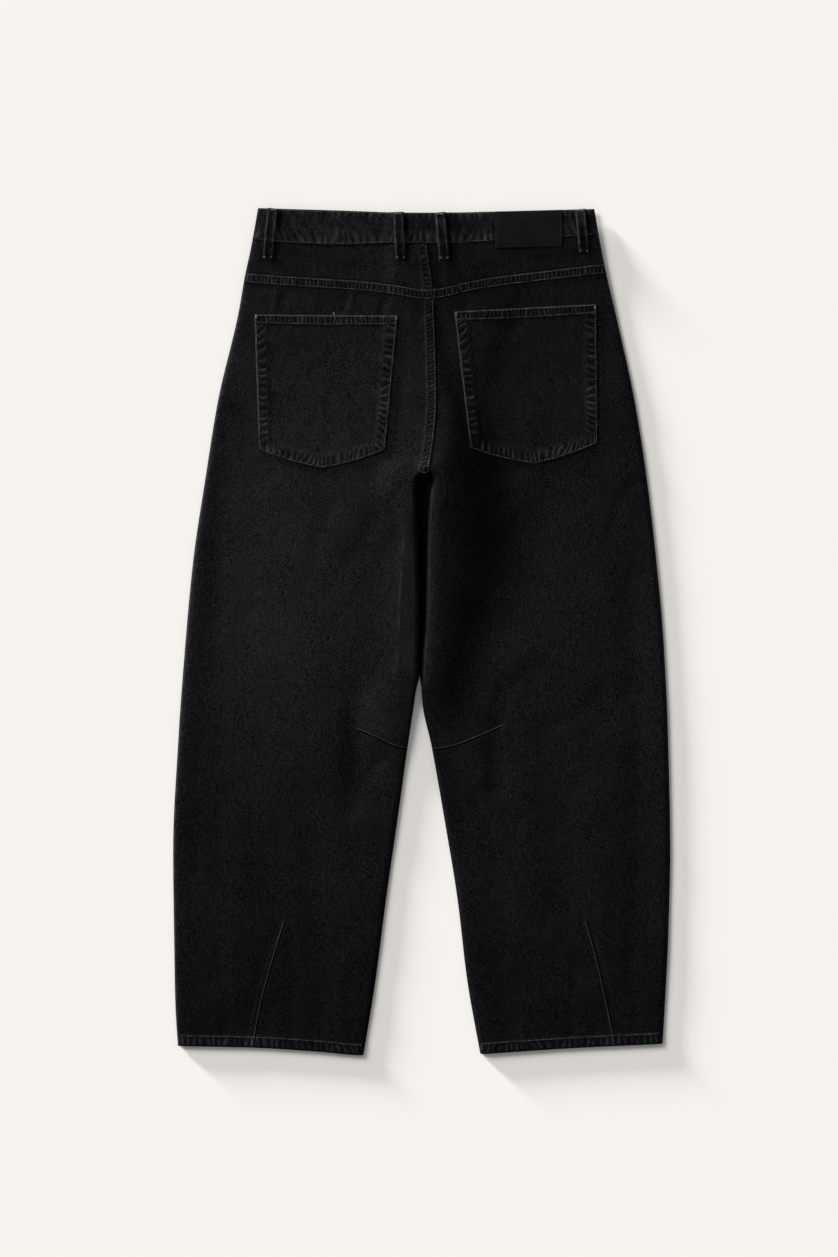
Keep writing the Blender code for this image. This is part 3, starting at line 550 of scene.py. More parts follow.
class Value:
    """A number in a material that varies over the surface, with sums written as in Python."""

    def __init__(self, finish, socket):
        self.finish = finish
        self.socket = socket

    __add__ = __radd__ = operation("ADD")
    __sub__ = operation("SUBTRACT")
    __rsub__ = operation("SUBTRACT", swap=True)
    __mul__ = __rmul__ = operation("MULTIPLY")
    __truediv__ = operation("DIVIDE")
    __abs__ = operation("ABSOLUTE")
    sine = operation("SINE")
    low = operation("MINIMUM")
    high = operation("MAXIMUM")

    def ramp(self, start, end):
        """0 below start and 1 above end."""
        sockets = {"Value": self, "From Min": start, "From Max": end}
        return self.finish.node("ShaderNodeMapRange", {"interpolation_type": "SMOOTHSTEP"}, sockets)

    def line(self, place, half_width):
        """1 where this value is at place, falling to 0 at half_width from it."""
        return 1.0 - abs(self - place).ramp(0.0, half_width)


class Finish:
    """A material made of nodes."""

    def __init__(self, name, roughness, metallic=0.0, specular=0.5):
        self.material = bpy.data.materials.new(name)
        self.material.use_nodes = True
        self.tree = self.material.node_tree
        self.shader = self.tree.nodes["Principled BSDF"]
        self.set("Roughness", roughness)
        self.set("Metallic", metallic)
        self.set("Specular IOR Level", specular)

    def node(self, kind, settings=None, sockets=None, output=0):
        made = self.tree.nodes.new(kind)
        for name, value in (settings or {}).items():
            setattr(made, name, value)
        for name, value in (sockets or {}).items():
            self.give(made.inputs[name], value)
        return Value(self, made.outputs[output])

    def give(self, socket, value):
        if isinstance(value, Value):
            self.tree.links.new(value.socket, socket)
        else:
            socket.default_value = value

    def set(self, name, value):
        self.give(self.shader.inputs[name], value)

    def place(self, scale=(1, 1, 1), turn=0.0):
        coordinates = self.node("ShaderNodeTexCoord", output=3)
        sockets = {"Vector": coordinates, "Scale": scale, "Rotation": (0, 0, turn)}
        return self.node("ShaderNodeMapping", {}, sockets)

    def attribute(self, name):
        return self.node("ShaderNodeAttribute", {"attribute_name": name}, output=2)

    def noise(self, vector, scale, detail=2.0, rough=0.5):
        sockets = {"Vector": vector, "Scale": scale, "Detail": detail, "Roughness": rough}
        return self.node("ShaderNodeTexNoise", {}, sockets)

    def joined(self, x, y, z=0.0):
        return self.node("ShaderNodeCombineXYZ", {}, {0: x, 1: y, 2: z})

    def mix(self, share, first, second):
        first, second = (c if isinstance(c, Value) else (*c, 1.0) for c in (first, second))
        sockets = {0: share, 6: first, 7: second}
        return self.node("ShaderNodeMix", {"data_type": "RGBA"}, sockets, output=2)

    def bump(self, height, distance, below=None):
        sockets = {"Height": height, "Distance": distance, "Strength": 1.0}
        if below is not None:
            sockets["Normal"] = below
        return self.node("ShaderNodeBump", {}, sockets)


def denim(name, warp_turn=0.0, wear=1.0, mottle=0.05):
    """Black twill with slubs, rubbed pale on folded edges and on the ribs that seams throw up, with
    painted shade in the hollows between the ribs, in a line beside each seam's edge and in the
    groove beside each dart, and the painted shade and light that the back's paleness carries.
    """
    made = Finish(name, 0.85, specular=0.015)
    here = made.place(turn=warp_turn)
    twill = made.node(
        "ShaderNodeTexWave",
        {"wave_type": "BANDS", "bands_direction": "DIAGONAL", "wave_profile": "SIN"},
        {
            "Vector": made.place(scale=(1, 0.55, 0), turn=warp_turn),
            "Scale": 420.0,
            "Distortion": 1.6,
            "Detail": 2.0,
            "Detail Scale": 1.5,
        },
        output=1,
    )
    slub = made.noise(made.place(scale=(1, 0.13, 1), turn=warp_turn), 950.0, 3.0)
    speckle = made.noise(here, 860.0, 2.0, 0.75)
    fibre = made.noise(here, 1900.0, 2.0, 0.7)
    cloud = made.noise(here, 75.0, 3.0)
    blotch = made.noise(made.place(scale=(1, 0.6, 1), turn=warp_turn + 0.5), 150.0, 2.0)
    broad = made.noise(here, 16.0, 2.0)
    # The last attribute is the cloth's paleness, which carries painted shade and painted light as
    # well as the wear of washing
    names = ("cross", "wide", "along", "soft", "ribs", "dart", "crease", "dye")
    cross, wide, along, soft, ribs, dart, crease, pale = map(made.attribute, names)

    # Ribs lie across a seam's band, unevenly, with painted shade in the hollows between them
    drift = made.noise(made.joined(along / 12.0, cross / 30.0, 3.0), 1.0, 1.0)
    lean = made.noise(made.joined(along / 34.0, 5.0, 1.0), 1.0, 0.0) - 0.5
    rib = ((along + drift * 9.0 + cross * lean * 1.5) * (2 * math.pi / 4.8)).sine()
    strength = made.noise(made.joined(along / 13.0, cross / 26.0, 9.0), 1.0, 1.0).ramp(0.36, 0.62)
    inside = cross.ramp(0.9, 2.8) * (1.0 - (cross - wide).ramp(-3.4, -1.4))
    fading = inside * (1.0 - cross / wide.high(1.0)).ramp(0.0, 0.8)
    inside = inside + (fading - inside) * soft
    crisp = rib.ramp(0.0, 0.95)
    ladder = (crisp + (rib * 0.5 + 0.5 - crisp) * soft) * inside * (strength * 0.75 + 0.25)
    middle = 1.0 - abs(cross / wide.high(1.0) * 2.0 - 1.0).ramp(0.30, 0.85)
    middle = middle + (1.0 - middle) * soft
    hollow_shade = (0.0 - rib).ramp(-0.1, 0.8) * inside * (middle * 0.8 + 0.2)
    edge = cross.line(0.5, 1.05)
    # Painted shadow in a thin line just outside each seam's folded edge
    beside = cross.line(-0.9, 1.7)
    sewn_in = made.attribute("dart_share")
    fold = dart.line(1.3, 1.1) * sewn_in
    # Painted shadow in the groove beside each dart's fold, which the bump also sinks
    dart_groove_shade = dart.line(-0.7, 1.5) * sewn_in
    printed = made.attribute("imprint").line(0.0, 1.5) * speckle.ramp(0.3, 0.6)
    worn_line = made.noise(made.place(scale=(1, 1, 0)), 55.0, 1.0).ramp(0.35, 0.65)
    pressed_line = crease.line(0.0, 2.0) * made.attribute("crease_share") * worn_line

    grain = speckle.ramp(0.452, 0.592) * 1.36 + slub.ramp(0.41, 0.59) * 0.36
    patches = cloud.ramp(0.3, 0.7) * 0.07 + broad.ramp(0.3, 0.7) * 0.10
    patches = patches + (blotch.ramp(0.34, 0.66) - 0.4) * mottle
    tone = pale * (grain * 0.80 + 0.115 + patches) + (grain - 0.66) * 0.10
    # Painted shade in the rib hollows, beside the seam edges and in the dart grooves
    tone = tone * (1.0 - hollow_shade * (0.74 - soft * 0.26)) * (1.0 - beside * 0.6)
    tone = tone * (1.0 - dart_groove_shade * 0.95)
    ground = made.mix(tone.low(1.0), (0.0003, 0.0003, 0.0004), (0.0158, 0.0153, 0.0178))
    rubbed = ladder * ribs * (0.30 - soft * 0.06) + edge * (strength * 0.28 + 0.16)
    rubbed = rubbed + inside * strength * blotch.ramp(0.3, 0.6) * 0.09
    rubbed = rubbed + fold * (strength * 0.35 + 0.38) + pressed_line * 0.30 + printed * 0.16
    rubbed = rubbed * (speckle.ramp(0.25, 0.75) * 0.5 + 0.6) * (pale * 0.7 + 0.42) * wear
    made.set("Base Color", made.mix(rubbed.low(1.0), ground, (0.060, 0.058, 0.064)))
    made.set("Roughness", grain * 0.10 + 0.80)
    weave = made.bump(twill * 0.6 + fibre * 0.35 + slub * 0.35 + speckle * 0.5, 0.00020)
    made.set("Normal", made.bump(ladder * 1.0 + fold * 0.5 - dart_groove_shade, 0.0009, weave))
    return made.material


def sewing_thread(name, dark, pale, roughness=0.6, specular=0.12, patches=(150.0, 3.0, 0.36)):
    """Black core-spun thread, rubbed grey in patches of a scale, a detail and a lower end."""
    made = Finish(name, roughness, specular=specular)
    scale, detail, start = patches
    worn = made.noise(made.place(), scale, detail).ramp(start, 1 - start)
    made.set("Base Color", made.mix(worn, dark, pale))
    made.set("Normal", made.bump(made.noise(made.place(), 2600.0, 1.0), 0.0002))
    return made.material


def patch_board():
    """The label's stiff matte board, with a faint pebbled grain."""
    made = Finish("patch_board", 0.72, specular=0.03)
    pebble = made.node(
        "ShaderNodeTexVoronoi", {"feature": "SMOOTH_F1"}, {"Vector": made.place(), "Scale": 900.0}
    )
    stain = made.noise(made.place(), 60.0, 4.0)
    fleck = made.noise(made.place(), 800.0, 2.0, 0.7)
    shade = stain.ramp(0.3, 0.7) * 0.4 + fleck.ramp(0.44, 0.56) * 0.6
    made.set("Base Color", made.mix(shade, (0.0024, 0.0024, 0.0024), (0.0076, 0.0075, 0.0074)))
    made.set("Roughness", stain * 0.16 + 0.62)
    made.set("Normal", made.bump(pebble, 0.00012))
    return made.material


def dark_metal():
    """Blackened brass, brighter where it has been rubbed."""
    made = Finish("dark_metal", 0.35, metallic=1.0)
    rub = made.noise(made.place(), 700.0, 4.0).ramp(0.4, 0.8)
    made.set("Base Color", made.mix(rub, (0.035, 0.034, 0.036), (0.16, 0.15, 0.15)))
    made.set("Roughness", rub * 0.2 + 0.28)
    return made.material


LEG_DENIM = denim("leg_denim")
POCKET_DENIM = denim("pocket_denim", wear=1.05, mottle=0.16)
WAISTBAND_DENIM = denim("waistband_denim", math.pi / 2, wear=0.95, mottle=0.46)
LOOP_DENIM = denim("loop_denim", wear=0.72, mottle=0.80)
THREAD = sewing_thread("sewing_thread", (0.008, 0.0077, 0.009), (0.050, 0.0485, 0.052))
DARK_THREAD = sewing_thread("dark_thread", (0.004, 0.004, 0.004), (0.012, 0.0117, 0.0125))
TACK_THREAD = sewing_thread(
    "tack_thread", (0.035, 0.034, 0.037), (0.20, 0.196, 0.20), 0.55, 0.25, (240.0, 2.0, 0.3)
)
PATCH = patch_board()
METAL = dark_metal()


def finished(piece, material, *nodes):
    """Gives a piece its material, its place in the table and the nodes that it stands for."""
    piece.data.materials.clear()
    piece.data.materials.append(material)
    piece.data.shade_smooth()
    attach(piece, "root")
    if nodes:
        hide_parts(*nodes)
    bpy.ops.object.select_all(action="DESELECT")
    return piece


# What a sheet's points carry, and its value where a sheet says nothing
SHOWN = {"cross": -90.0, "wide": 0.0, "along": 0.0, "soft": 0.0, "ribs": 1.0, "imprint": 50.0}
SHOWN.update(dart=0.0, dart_share=0.0, crease=0.0, crease_share=0.0, dye=0.55)

# A point farther than this from every seam shows none
SEAM_REACH = 88.0


def edit(action):
    """Goes into edit mode with all of the mesh selected, or none of it."""
    bpy.ops.object.mode_set(mode="EDIT")
    bpy.ops.mesh.select_all(action=action)


def modified(piece, kind, **settings):
    """Gives the active piece a modifier and applies it."""
    bpy.ops.object.modifier_add(type=kind)
    modifier = piece.modifiers[-1]
    for name, value in settings.items():
        setattr(modifier, name, value)
    bpy.ops.object.modifier_apply(modifier=modifier.name)


def cloth(name, grid, ply, lay, *place, faces_down=False):
    """A sheet of cloth, of a thickness in mm, on a grid of columns and rows.

    lay takes the place, each point's shares across and down, and the grid. It gives the outer
    points and what the surface shows there.
    """
    bpy.ops.mesh.primitive_grid_add(x_subdivisions=grid[0], y_subdivisions=grid[1], size=1)
    piece = bpy.context.object
    mesh = piece.data
    piece.name = mesh.name = name
    flat = np.empty(len(mesh.vertices) * 3)
    mesh.vertices.foreach_get("co", flat)
    flat = flat.reshape(-1, 3)
    points, shown = lay(*place, flat[:, 0] + 0.5, 0.5 - flat[:, 1], grid)
    mesh.vertices.foreach_set("co", points.ravel())
    for attribute, plain in SHOWN.items():
        values = np.broadcast_to(shown.get(attribute, plain), len(flat))
        made = mesh.attributes.new(attribute, "FLOAT", "POINT")
        made.data.foreach_set("value", np.ascontiguousarray(values, np.float32))
    mesh.update()
    if faces_down:
        edit("SELECT")
        bpy.ops.mesh.flip_normals()
        bpy.ops.object.mode_set(mode="OBJECT")
    modified(piece, "SOLIDIFY", thickness=ply * MM, offset=-1)
    return piece


def crowded(share, count, near, far, total):
    """Distance along total at a share of count steps. The end steps follow near and far."""
    step = share * count
    n, f = len(near) - 1, len(far) - 1
    start = np.interp(step, np.arange(n + 1), near)
    end = np.interp(count - step, np.arange(f + 1), far)
    t = np.clip((step - n) / (count - n - f), 0, 1)
    middle = near[-1] + t * (total - near[-1] - far[-1])
    return np.where(step <= n, start, np.where(step >= count - f, total - end, middle))


def edged(share, count, length):
    """A share of a length, crowded towards both ends where a grid's count is given."""
    return crowded(share, count, EDGED, EDGED, length) / length if count else share


def turned(radius, steps=7):
    """Distances from a soft folded edge at which a grid has its lines."""
    return [radius * (1 - math.cos(math.pi / 2 * k / steps)) for k in range(steps + 1)]


def roundness(distance, radius):
    """Share of the full height at a distance from a soft folded edge."""
    t = 1 - np.clip(distance / radius, 0, 1)
    return np.sqrt(np.maximum(0.0, 1 - t * t))


def ends(side, row_drop, inner):
    """Where each row meets the panel's two edges. row_drop gives the rows' drops at an x."""
    outer = OUTER[side]
    out_x, in_x = outer(row_drop(0.0)), inner(side, row_drop(0.0))
    for _ in range(6):
        out_x, in_x = outer(row_drop(out_x)), inner(side, row_drop(in_x))
    return out_x, in_x


def from_outer(side, across):
    """A grid's share from left to right, counted from the leg's outer edge."""
    return across if side == "left" else 1 - across


def panel(side, across, columns, row_drop, inner, far, beyond=-HALF_GAP, near=EDGED):
    """X, drop and the distances from a leg panel's outer and inner edges."""
    out_x, in_x = ends(side, row_drop, inner)
    width = np.abs(in_x - out_x) + beyond
    from_side = crowded(from_outer(side, across), columns, near, far, width)
    x = out_x + TOWARD[side] * from_side
    return x, row_drop(x), from_side, width - from_side


def seam(cross, along, wide=0.0, soft=0.0, ribs=1.0):
    """A seam: the distance in from its folded edge, its run, its width, how soft its ribs are and
    how pale they are rubbed."""
    return {"cross": cross, "wide": wide, "along": along, "soft": soft, "ribs": ribs}


def hem_seam(x, from_hem, ribs=1.1):
    return seam(from_hem, x * 0.66 + from_hem * 0.06, HEM_WIDTH, 0.55, ribs)


def waistband_seams(x, from_top, from_low, shift=0.0):
    top = seam(from_top, x * 0.66, 10.0, 1.0, 2.0)
    return [top, seam(from_low, x * 0.53 + shift, 20.0, 1.0, 1.9)]


def nearest_seam(seams):
    """What the nearest seam shows at each point."""
    size = len(seams[0]["cross"])
    shown = {name: np.full(size, float(SHOWN[name])) for name in seams[0]}
    nearest = np.full(size, SEAM_REACH)
    for one in seams:
        away = np.maximum(np.maximum(-one["cross"], one["cross"] - one["wide"]), 0.0)
        closer = away < nearest
        nearest = np.where(closer, away, nearest)
        for name, value in one.items():
            shown[name] = np.where(closer, value, shown[name])
    return shown


def dart_distance(side, x, drop):
    """Distance from the nearest dart's sewn line to its lit side, the line's share, and the
    distance from the line that the cloth folded away inside the dart has printed."""
    inside = x - KNEE_DART_TIPS[0] if side == "left" else KNEE_DART_TIPS[1] - x
    on_hem = (DART[side](drop) - x) * 0.97
    low = drop > BETWEEN_DARTS
    distance = np.where(low, on_hem, knee_line(x) - drop)
    share = np.where(low, ease(*HEM_DART_TIP, drop), ease(-4, 8, inside))
    start, end = DART_PRINT[side]
    printed = TOWARD[side] * (DART[side](drop) - x) - DART_TURNING * ease(800, 880, drop)
    printed = np.where((drop > start) & (drop < end), printed, SHOWN["imprint"])
    return distance, share * (np.abs(distance) < 12), np.clip(printed, -12, SHOWN["imprint"])


def crease_distance(side, x, drop):
    """Distance from the leg's sharp crease beside the crotch, and the crease's share."""
    path, _, _ = CREASES[0 if side == "left" else 1]
    places = [(place, run) for run, place in path]
    distance = x - through(places)(drop)
    within = np.minimum(drop - places[0][0], places[-1][0] - drop)
    return distance, ease(-2, 12, within) * (np.abs(distance) < 12)


def back_rows(down, rows):
    """Each row's share of the way to the knee line and on to the hem, and its shift from there."""
    step = down * rows
    first, last = len(YOKE_ROWS) - 1, len(HEM_ROWS) - 1
    to_knee = np.clip((step - first) / (KNEE_ROW - first), 0, 1)
    to_hem = np.clip((step - KNEE_ROW) / (rows - last - KNEE_ROW), 0, 1)
    below_yoke = np.interp(step, np.arange(first + 1), YOKE_ROWS) * (1 - to_knee)
    above_hem = -np.interp(rows - step, np.arange(last + 1), HEM_ROWS)
    shift = np.where(step < KNEE_ROW, below_yoke, -HEM_ROWS[-1] * to_hem)
    return to_knee, to_hem, np.where(step > rows - last, above_hem, shift)


def lay_back(side, across, down, grid):
    columns, rows = grid
    to_knee, to_hem, shift = back_rows(down, rows)

    def row_drop(x):
        top, knee = yoke_seam(x), knee_line(x)
        return top + (knee - top) * to_knee + (hem_line(x) - knee) * to_hem + shift

    out_x, in_x = ends(side, row_drop, inner_edge)
    width = np.abs(in_x - out_x) - HALF_GAP
    in_drop = row_drop(in_x)
    across = from_outer(side, across)
    d = crowded(across, columns, turned(EDGE_RADIUS), FELLED, width)

    # Below the crotch the inner columns follow a round edge in place of a felled one
    opened = ease(CROTCH_DROP - 4, CROTCH_DROP + 9, in_drop)
    count = len(FELLED) - 1
    steps_in = columns - across * columns
    turn = inner_turn(in_drop)
    rounded_in = turn * (1 - np.cos(np.clip(steps_in / count, 0, 1) * math.pi / 2))
    felled_in = np.interp(steps_in, np.arange(count + 1), FELLED)
    d = d + np.where(steps_in < count, (felled_in - rounded_in) * opened, 0.0)
    to_inner = width - d
    x = out_x + TOWARD[side] * d
    drop = row_drop(x)

    low = seam_height(x, drop)
    share = roundness(d, EDGE_RADIUS) * (1 - opened * (1 - roundness(to_inner, turn)))
    z = low + (back_surface(side, x, drop) - low) * share
    from_hem = hem_line(x) - drop
    z = np.maximum(z - 0.9 * np.exp(-from_hem / 0.5), low)

    at_dart = hump(x - DART[side](966.0), 11.0)
    seams = [
        seam(drop - yoke_seam(x) - 0.2, x, FELL_WIDTH, ribs=0.9),
        hem_seam(x, from_hem, 1.1 + 1.1 * at_dart),
        seam(d - 1.0, drop),
    ]
    past_crotch = 60 * ease(CROTCH_DROP - 6, CROTCH_DROP + 8, drop)
    if side == "left":
        fading = 0.6 - 0.45 * ease(150, 280, drop)
        run = drop * 1.05 - to_inner * 0.4
        seams.append(seam(to_inner + past_crotch, run, FELL_WIDTH, 0.5, fading))
    else:
        seams.append(seam(-to_inner - past_crotch, drop))
    shown = nearest_seam(seams)
    shown["dart"], shown["dart_share"], shown["imprint"] = dart_distance(side, x, drop)
    shown["crease"], shown["crease_share"] = crease_distance(side, x, drop)
    shown["dye"] = dye(x, drop)
    return at(x, drop, z), shown


def lay_yoke(side, across, down, grid):
    def row_drop(x):
        depth = yoke_seam(x) - waist_seam(x) + 2.0
        return waist_seam(x) - 1.5 + crowded(down, grid[1], EDGED, EDGED, depth)

    x, drop, d, to_inner = panel(
        side, across, grid[0], row_drop, inner_edge, FELLED, near=turned(EDGE_RADIUS)
    )
    low = seam_height(x, drop)
    z = back_height(x, drop)
    z += 0.28 * rumple(x, drop, 26.0, 8) + 0.14 * rumple(x, drop, 11.0, 9)
    z += drawn(drop - waist_seam(x), x, 14.0, 11, 0.8)
    z += drawn(drop - yoke_seam(x), x, 8.0, 12, 0.6)
    z -= 0.5 * np.exp(-np.abs(drop - waist_seam(x)) / 2.2)
    if side == "left":
        z += band(to_inner, FELL_WIDTH, FELL_RISE)
        centre = seam(to_inner, drop * 0.8, FELL_WIDTH, 0.5, 0.5)
    else:
        centre = seam(-to_inner, drop)
    z = low + (z - low) * roundness(d, EDGE_RADIUS)
    waist = seam(waist_seam(x) - drop, x)
    below = seam(drop - yoke_seam(x) - 0.3, x + 300)
    shown = nearest_seam([waist, below, seam(d - 1.0, drop + 900), centre])
    shown["dye"] = dye(x, drop)
    return at(x, drop, z), shown


def waistband_surface(x, drop):
    from_top, from_low = drop - waist_top(x), waist_seam(x) - drop
    z = waistband_height(x)
    z += 0.30 * rumple(x + 0.8 * drop, drop, 19.0, 14) + 0.24 * rumple(x, drop, 9.0, 15)
    z += drawn(from_low - 3, x + 0.5 * from_low, 10.0, 16, 1.1)
    z += drawn(from_top - 3, x - 0.4 * from_top, 8.0, 17, 0.9)
    z += puckers(from_low - 4, x + 0.25 * from_low, 9.2, 9.0, 18, 0.46)
    z += puckers(from_top - 3, x - 0.2 * from_top, 7.4, 5.0, 19, 0.26)
    return z


def lay_waistband_back(across, down, grid):
    def row_drop(x):
        return waist_top(x) + crowded(down, grid[1], EDGED, EDGED, waist_seam(x) - waist_top(x))

    left_x, right_x = OUTER["left"](row_drop(-190.0)), OUTER["right"](row_drop(200.0))
    width = right_x - left_x
    edge = turned(EDGE_RADIUS)
    d = crowded(across, grid[0], edge, edge, width)
    x = left_x + d
    drop = row_drop(x)
    low = WAIST_LIFT + WAISTBAND_PLY + 0.4
    from_top, from_low = drop - waist_top(x), waist_seam(x) - drop
    z = waistband_surface(x, drop)
    z -= 0.8 * np.exp(-from_top / 0.5) + 0.6 * np.exp(-from_low / 0.5)
    z = low + (z - low) * roundness(d, EDGE_RADIUS) * roundness(width - d, EDGE_RADIUS)
    shown = nearest_seam(waistband_seams(x, from_top, from_low, 400))
    shown["dye"] = dye(x, drop) * 1.04
    return at(x, drop, z), shown


def pocket_bottom(corners, x):
    """The drop of a pocket's lower edge, whose two runs bow down on the way to its point."""
    first, point, last = corners["low_low"], corners["point"], corners["low_high"]
    before = (x - first[0]) / (point[0] - first[0])
    after = (x - point[0]) / (last[0] - point[0])
    share = np.where(x < point[0], before, after)
    line = np.where(
        x < point[0],
        first[1] + (point[1] - first[1]) * before,
        point[1] + (last[1] - point[1]) * after,
    )
    return line + POCKET_BOW * np.sin(math.pi * np.clip(share, 0, 1))


def pocket_place(side, across_mm, down_mm):
    """The place on a pocket at a distance across from its low side and down from its top."""
    corners = POCKETS[side]
    top = through([corners["top_low"], corners["top_high"]])
    u, v = across_mm / POCKET_WIDTH, down_mm / POCKET_DEPTH
    top_x = corners["top_low"][0] + u * (corners["top_high"][0] - corners["top_low"][0])
    low_x = corners["low_low"][0] + u * (corners["low_high"][0] - corners["low_low"][0])
    drop = top(top_x) + (pocket_bottom(corners, low_x) - top(top_x)) * v
    return top_x + (low_x - top_x) * v, drop


def pocket_surface(side, across_mm, down_mm):
    """Outer face of a pocket, with its turned edges standing proud of its middle."""
    x, drop = pocket_place(side, across_mm, down_mm)
    to_side = np.minimum(across_mm, POCKET_WIDTH - across_mm)
    to_top, to_low = down_mm, POCKET_DEPTH - down_mm
    to_edge = np.minimum(np.minimum(to_side, to_top), to_low)
    to_turning = np.minimum(to_side, to_low)
    z = back_surface(side, x, drop) + POCKET_RISE
    turning = np.maximum(
        1 - ease(POCKET_TURNING - 1, POCKET_TURNING + 1.5, to_turning),
        1 - ease(POCKET_HEM - 0.3, POCKET_HEM + 0.6, to_top),
    )
    z += POCKET_TURNING_RISE * turning
    z += 0.26 * rumple(x, drop, 30.0, 21) + 0.15 * rumple(x, drop, 11.0, 22)
    run = np.where(to_side < np.minimum(to_top, to_low), drop, x)
    z += drawn(to_edge - 6, run, 10.0, 23 if side == "left" else 24, 1.0)
    z += puckers(to_turning - 6, run + 0.3 * to_edge, 8.2, 3.5, 25, 0.20)
    z -= 1.5 * np.exp(-to_edge / 0.35)
    return x, drop, z


def lay_pocket(side, across, down, grid):
    across_mm = crowded(across, grid[0], FOLDED, FOLDED, POCKET_WIDTH)
    down_mm = crowded(down, grid[1], POCKET_MOUTH, FOLDED, POCKET_DEPTH)
    x, drop, z = pocket_surface(side, across_mm, down_mm)
    to_side = np.minimum(across_mm, POCKET_WIDTH - across_mm)
    side_run = np.where(across_mm < POCKET_WIDTH / 2, drop, drop + 300) * 0.58 + to_side * 0.10
    low = seam(POCKET_DEPTH - down_mm, x * 0.78 + 700, 14.5, 0.4, 1.05)
    shown = nearest_seam([low, seam(to_side, side_run, 14.5, 0.15, 1.15)])
    mouth = seam(down_mm, x * 1.02 + 900, POCKET_HEM + 1.0, ribs=0.9)
    on_mouth = (down_mm < POCKET_HEM + 1.5) & (to_side >= down_mm - 2)
    for name, value in mouth.items():
        shown[name] = np.where(on_mouth, value, shown[name])
    shown["dye"] = dye(x, drop) * (0.97 if side == "left" else 1.0)
    return at(x, drop, z), shown


def outer_face(x, drop):
    over, under = waistband_height(x), back_height(x, drop)
    return under + (over - under) * (1 - ease(-1, 5, drop - waist_seam(x)))


def lay_loop(top_x, top_drop, foot_x, foot_drop, across, down, grid=(None, None)):
    run = np.array([foot_x - top_x, foot_drop - top_drop])
    length = np.hypot(*run)
    run /= length
    across, down = edged(across, grid[0], LOOP_WIDTH), edged(down, grid[1], length)
    held = ease(0.0, 0.28, down) * (1 - ease(0.72, 0.96, down))
    middle_x = top_x + (foot_x - top_x) * down
    middle_drop = top_drop + (foot_drop - top_drop) * down
    side = (across - 0.5) * LOOP_WIDTH
    side *= 1 + 0.03 * wobble(down * length, 19.0, top_x)
    x, drop = middle_x + run[1] * side, middle_drop - run[0] * side
    to_edge, ends_mm = to_end(across, LOOP_WIDTH), to_end(down, length)
    z = outer_face(middle_x, middle_drop) + GAP + LOOP_STANDS_OFF * held + LOOP_RISE
    z = z - 0.9 * np.exp(-to_edge / 0.4) - 0.8 * np.exp(-ends_mm / 0.5)
    z += 0.35 * hump(to_edge - 1.3, 0.9) - 0.30 * hump(side, 2.2)
    z += 0.16 * wobble(down * length, 9.0, foot_x) * ease(1.5, 4.0, to_edge)
    shown = {"cross": np.minimum(to_edge, ends_mm), "along": down * length + top_x}
    shown["dye"] = 0.50 + 0.28 * wobble(down * length, 11.0, foot_x)
    shown["dye"] *= 1 - 0.45 * hump(side, 2.6)
    return at(x, drop, z), shown


def lay_label(across, down, grid=(None, None)):
    width, depth = LABEL["right"] - LABEL["left"], LABEL["bottom"] - LABEL["top"]
    across, down = edged(across, grid[0], width), edged(down, grid[1], depth)
    x = LABEL["left"] + width * across
    drop = LABEL["top"] + depth * down + waist_top(x) - waist_top(LABEL["left"])
    hang = ease(2, 16, drop - waist_seam(x))
    z = waistband_height(x) - 0.9 * hang + LABEL_RISE
    edge = np.minimum(to_end(across, width), to_end(down, depth))
    z += 0.10 * rumple(x, drop, 14.0, 31) + 0.18 * wobble(x, 46.0, 4) * down
    z -= 0.25 * np.exp(-edge / 0.4) + 0.12 * hump(edge - 2.4, 0.7)
    return at(x, drop, z), {}


def front_under(side, x, drop):
    """Height of the front's outer face, which looks down: flat where it rests."""
    z = lift_at(x, drop) + FRONT_CLEAR
    away = np.minimum(np.abs(x - OUTER[side](drop)), np.abs(x - front_edge(side, drop)))
    free = ease(14, 60, away) * ease(70, 200, drop) * (1 - ease(900, 950, drop))
    creases = np.clip(pressed(-x, drop, CREASES[4:]), -1, 1)
    z += free * np.clip(0.35 + 0.9 * creases + 0.3 * rumple(x, drop, 40.0, 41), 0, 1.5)
    return z


def lay_front(side, across, down, grid):
    def row_drop(x):
        top = front_seam(x) + GAP
        return top + crowded(down, grid[1], EDGED, FOLDED, hem_line(x) - 1.5 - top)

    x, drop, to_outer, to_inner = panel(
        side, across, grid[0], row_drop, front_edge, FRONT_INNER, HALF_GAP
    )
    z = front_under(side, x, drop)
    z += 0.5 * np.exp(-to_outer / 1.2) + 0.3 * np.exp(-to_inner / 1.0)
    outer, waist = seam(to_outer - 1.0, drop), seam(front_seam(x) - drop, x + 1200)
    shown = nearest_seam([outer, hem_seam(x, hem_line(x) - 1.5 - drop), waist])
    # Painted shade where the front shows in the crevice between the legs
    crevice_shade = ease(CROTCH_DROP - 10, CROTCH_DROP + 4, drop) * (1 - ease(14, 26, to_inner))
    shown["dye"] = 0.62 * (1 - 0.7 * crevice_shade * (1 - ease(540, 600, drop)))
    return at(x, drop, z), shown


def waistband_front_under(side, x):
    """Height of the front waistband's outer face, which looks down. The left end laps over."""
    beside_lap = ease(LAP_X[1] + 1, LAP_X[1] + 12, x)
    tucked = 0.0 if side == "left" else WAISTBAND_PLY + GAP
    return WAIST_LIFT + tucked * (1 - beside_lap)


